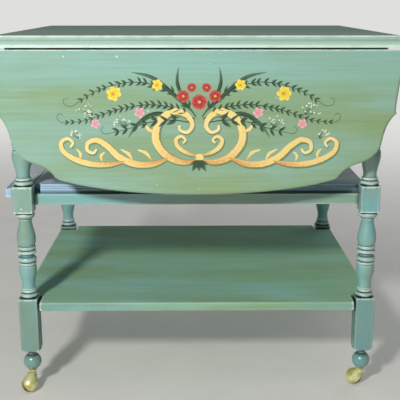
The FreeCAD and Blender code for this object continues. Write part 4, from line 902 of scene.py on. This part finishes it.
class TEACART_OT_decorate_leaf(bpy.types.Operator):
    """Paints scrolls, leafy stems and small blossoms on the front leaf"""

    bl_idname = "tea_cart.decorate_leaf"
    bl_label = "Decorate Front Leaf"

    def execute(self, context):
        decor = context.scene.tea_cart_decor
        rng = random.Random(decor.seed)
        face_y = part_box("leaf_front")[0].y / MM

        coats = {name: PaintCoat(face_y, decor.middle_x / MM) for name in STROKE_FINISHES}
        self.lay_glaze(coats["shadow_glaze"])
        self.lay_stems(coats["stems"])
        self.lay_foliage(coats["foliage"], rng)
        self.lay_scrolls(coats["scrolls"])
        self.lay_blossoms(coats, rng)
        self.lay_sprays(coats["stems"], coats["white_sprays"], rng)
        own = {"foliage": decor.foliage, "scroll": decor.scroll}
        for name, (finish, colours, rim_width, vein) in STROKE_FINISHES.items():
            chosen = [own[c] if c in own else linear(*c) for c in colours]
            material = stroke_material(finish, *chosen, rim_width, vein)
            coats[name].piece("painted_" + name, material, "leaf_paint")
        return {"FINISHED"}

    def lay_glaze(self, glaze):
        """A soft shadow that shows below the scrolls."""
        for points, profile in SCROLLS:
            for side in (-1, 1):
                shifted = [(side * x + 1.5, z - 2.2) for x, z in points]
                glaze.stroke(shifted, [w * 1.12 for w in profile], GLAZE_LIFT, 8)

    def lay_stems(self, stems):
        for stem in STEMS:
            stems.both_sides(stem, (2.2, 1.8, 1.4, 1.0), STEM_LIFT)
        for curl in CURLS:
            stems.both_sides(curl, (1.0, 0.9, 0.8), STEM_LIFT)

    def lay_foliage(self, foliage, rng):
        for points, profile in BLADES:
            foliage.both_sides(points, profile, BLADE_LIFT, 8)
        for stem, (length, width, gap) in zip(STEMS, LEAFLETS):
            for mirrored in (False, True):
                leafy_stem(foliage, stem, mirrored, length, width, gap, rng)
        for angle, length in TASSEL:
            foliage.petal(0, 507, angle, length, 8.5, LEAFLET, TASSEL_LIFT)

    def lay_scrolls(self, scrolls):
        for points, profile in COMMAS + SCROLLS:
            scrolls.both_sides(points, profile, SCROLL_LIFT, 8)
        dot(scrolls, 0, 512, 8.0, CLASP_LIFT)

    def lay_blossoms(self, coats, rng):
        for name, (petals, spread, heart, sides, places) in BLOSSOMS.items():
            for x, z, radius in places:
                for side in sides:
                    blossom(coats[name], side * x, z, radius, petals, spread, rng)
                    dot(coats["blossom_hearts"], side * x, z, radius * heart, HEART_LIFT)

    def lay_sprays(self, stems, white, rng):
        """Small white drops on hair-thin stalks."""
        for x, z, radius in WHITE_SPRAYS:
            for side in (-1, 1):
                foot = (side * (x - radius * 0.6), z - radius * 0.5)
                for _ in range(SPRAY_DROPS):
                    turn = math.radians(rng.uniform(0, 360))
                    reach = radius * math.sqrt(rng.uniform(0.05, 1.0))
                    tip = (side * x + math.cos(turn) * reach, z + math.sin(turn) * reach * 0.7)
                    stems.stroke([foot, tip], (0.5, 0.4), SPRAY_STEM_LIFT, 3)
                    dot(white, *tip, rng.uniform(1.0, 1.9), DROP_LIFT)


class TEACART_OT_build_stage(bpy.types.Operator):
    """Adds the pale floor, the soft lights and the camera"""

    bl_idname = "tea_cart.build_stage"
    bl_label = "Build Stage"

    def execute(self, context):
        stage = context.scene.tea_cart_stage
        self.floor(context, stage)
        self.lights(context, stage)
        self.camera(context)
        context.scene.view_settings.view_transform = "Standard"
        return {"FINISHED"}

    def floor(self, context, stage):
        mesh = bpy.data.meshes.new("floor")
        turns = [math.tau * i / FLOOR_SIDES for i in range(FLOOR_SIDES)]
        rim = [(stage.floor_radius * math.cos(turn), stage.floor_radius * math.sin(turn), 0.0)
               for turn in turns]
        mesh.from_pydata(rim, [], [tuple(range(FLOOR_SIDES))])
        floor = bpy.data.objects.new("floor", mesh)
        context.scene.collection.objects.link(floor)
        material, shader, surface = new_material("Pale Floor")
        where = shader.add("TexCoord").outputs["Object"]
        cloud = shader.remap(shader.noise(where, 6.0, 5.0), 0.3, 0.7)
        pale = list(stage.floor_colour)
        shader.feed(surface.inputs["Base Color"], shader.mix(cloud, pale, [c * 0.94 for c in pale]))
        surface.inputs["Roughness"].default_value = 0.9
        surface.inputs["Specular IOR Level"].default_value = 0.2
        reach = shader.add("VectorMath", {"operation": "LENGTH"}, Vector=where).outputs["Value"]
        far = shader.remap(reach, *FLOOR_FADE)
        seen_far = shader.math("MULTIPLY", far, shader.add("LightPath").outputs["Is Camera Ray"])
        backdrop = shader.add("Emission", Color=(*BACKDROP, 1.0))
        both = shader.add("MixShader")
        shader.feed(both.inputs[0], seen_far)
        shader.feed(both.inputs[1], surface.outputs[0])
        shader.feed(both.inputs[2], backdrop.outputs[0])
        shader.feed(material.node_tree.nodes["Material Output"].inputs["Surface"], both.outputs[0])
        mesh.materials.append(material)

    def lights(self, context, stage):
        world = bpy.data.worlds.new("Studio")
        context.scene.world = world
        world.use_nodes = True
        shader = Shader(world.node_tree)
        even = world.node_tree.nodes["Background"]
        even.inputs["Color"].default_value = (0.93, 0.97, 1.0, 1.0)
        even.inputs["Strength"].default_value = stage.fill
        seen = shader.add("Background")
        seen.inputs["Color"].default_value = (*BACKDROP, 1.0)
        rays = shader.add("LightPath").outputs
        mirrored = shader.math("MAXIMUM", rays["Is Glossy Ray"], rays["Is Transmission Ray"])
        mirrored = shader.math("MULTIPLY", mirrored, MIRRORED_SHARE)
        share = shader.math("MAXIMUM", rays["Is Camera Ray"], mirrored)
        both = shader.add("MixShader")
        shader.feed(both.inputs[0], share)
        shader.feed(both.inputs[1], even.outputs[0])
        shader.feed(both.inputs[2], seen.outputs[0])
        shader.feed(world.node_tree.nodes["World Output"].inputs["Surface"], both.outputs[0])
        self.lamp(context, "key_lamp", KEY_PLACE, KEY_AIM, stage.key_size, stage.key_power,
                  (1.0, 0.99, 0.96))
        self.lamp(context, "ceiling_lamp", CEILING_PLACE, CEILING_AIM, CEILING_SIZE,
                  stage.ceiling_power, (0.98, 0.98, 1.0))
        rear = self.lamp(context, "rear_lamp", REAR_PLACE, REAR_AIM, REAR_SIZE, stage.rear_power,
                         (0.98, 0.99, 1.0))
        rear.visible_glossy = False

    def lamp(self, context, name, place, target, size, power, colour):
        data = bpy.data.lights.new(name, "AREA")
        data.size = size
        data.energy = power
        data.color = colour
        lamp = bpy.data.objects.new(name, data)
        lamp.location = place
        lamp.rotation_euler = (Vector(target) - Vector(place)).to_track_quat("-Z", "Y").to_euler()
        lamp.visible_camera = False
        context.scene.collection.objects.link(lamp)
        return lamp

    def camera(self, context):
        data = bpy.data.cameras.new("camera")
        data.lens = CAMERA_LENS
        data.sensor_width = CAMERA_SENSOR
        data.clip_end = 100.0
        camera = bpy.data.objects.new("camera", data)
        context.scene.collection.objects.link(camera)
        yaw, pitch = math.radians(CAMERA_YAW), math.radians(CAMERA_PITCH)
        turn = Matrix.Rotation(-yaw, 4, "Z") @ Matrix.Rotation(math.pi / 2 + pitch, 4, "X")
        camera.matrix_world = Matrix.Translation(CAMERA_PLACE) @ turn
        context.scene.camera = camera


OPERATORS = (
    TEACART_OT_paint_top,
    TEACART_OT_paint_leaves,
    TEACART_OT_paint_legs,
    TEACART_OT_paint_rails,
    TEACART_OT_paint_tray,
    TEACART_OT_paint_shelf,
    TEACART_OT_finish_wood,
    TEACART_OT_finish_metal,
    TEACART_OT_decorate_leaf,
    TEACART_OT_build_stage,
)


class TEACART_PT_panel(bpy.types.Panel):
    """Lists every step of the tea cart's finish"""

    bl_idname = "TEACART_PT_panel"
    bl_label = "Tea Cart"
    bl_space_type = "VIEW_3D"
    bl_region_type = "UI"
    bl_category = "Tea Cart"

    def draw(self, context):
        layout = self.layout
        for group in SETTINGS:
            settings = getattr(context.scene, group)
            for name in settings.bl_rna.properties.keys():
                if name not in ("rna_type", "name"):
                    layout.prop(settings, name)
        for operator in OPERATORS:
            layout.operator(operator.bl_idname)


SETTINGS = {
    "tea_cart_paint": TeaCartPaintSettings,
    "tea_cart_decor": TeaCartDecorSettings,
    "tea_cart_stage": TeaCartStageSettings,
}


def register():
    for group, settings in SETTINGS.items():
        bpy.utils.register_class(settings)
        setattr(bpy.types.Scene, group, PointerProperty(type=settings))
    for operator in OPERATORS:
        bpy.utils.register_class(operator)
    bpy.utils.register_class(TEACART_PT_panel)


def unregister():
    bpy.utils.unregister_class(TEACART_PT_panel)
    for operator in reversed(OPERATORS):
        bpy.utils.unregister_class(operator)
    for group, settings in reversed(SETTINGS.items()):
        delattr(bpy.types.Scene, group)
        bpy.utils.unregister_class(settings)


def main():
    register()
    bpy.ops.tea_cart.build_stage()
    bpy.ops.tea_cart.paint_top()
    bpy.ops.tea_cart.paint_leaves()
    bpy.ops.tea_cart.paint_legs()
    bpy.ops.tea_cart.paint_rails()
    bpy.ops.tea_cart.paint_tray()
    bpy.ops.tea_cart.paint_shelf()
    bpy.ops.tea_cart.finish_wood()
    bpy.ops.tea_cart.finish_metal()
    bpy.ops.tea_cart.decorate_leaf()
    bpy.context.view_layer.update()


if __name__ == "__main__":
    main()
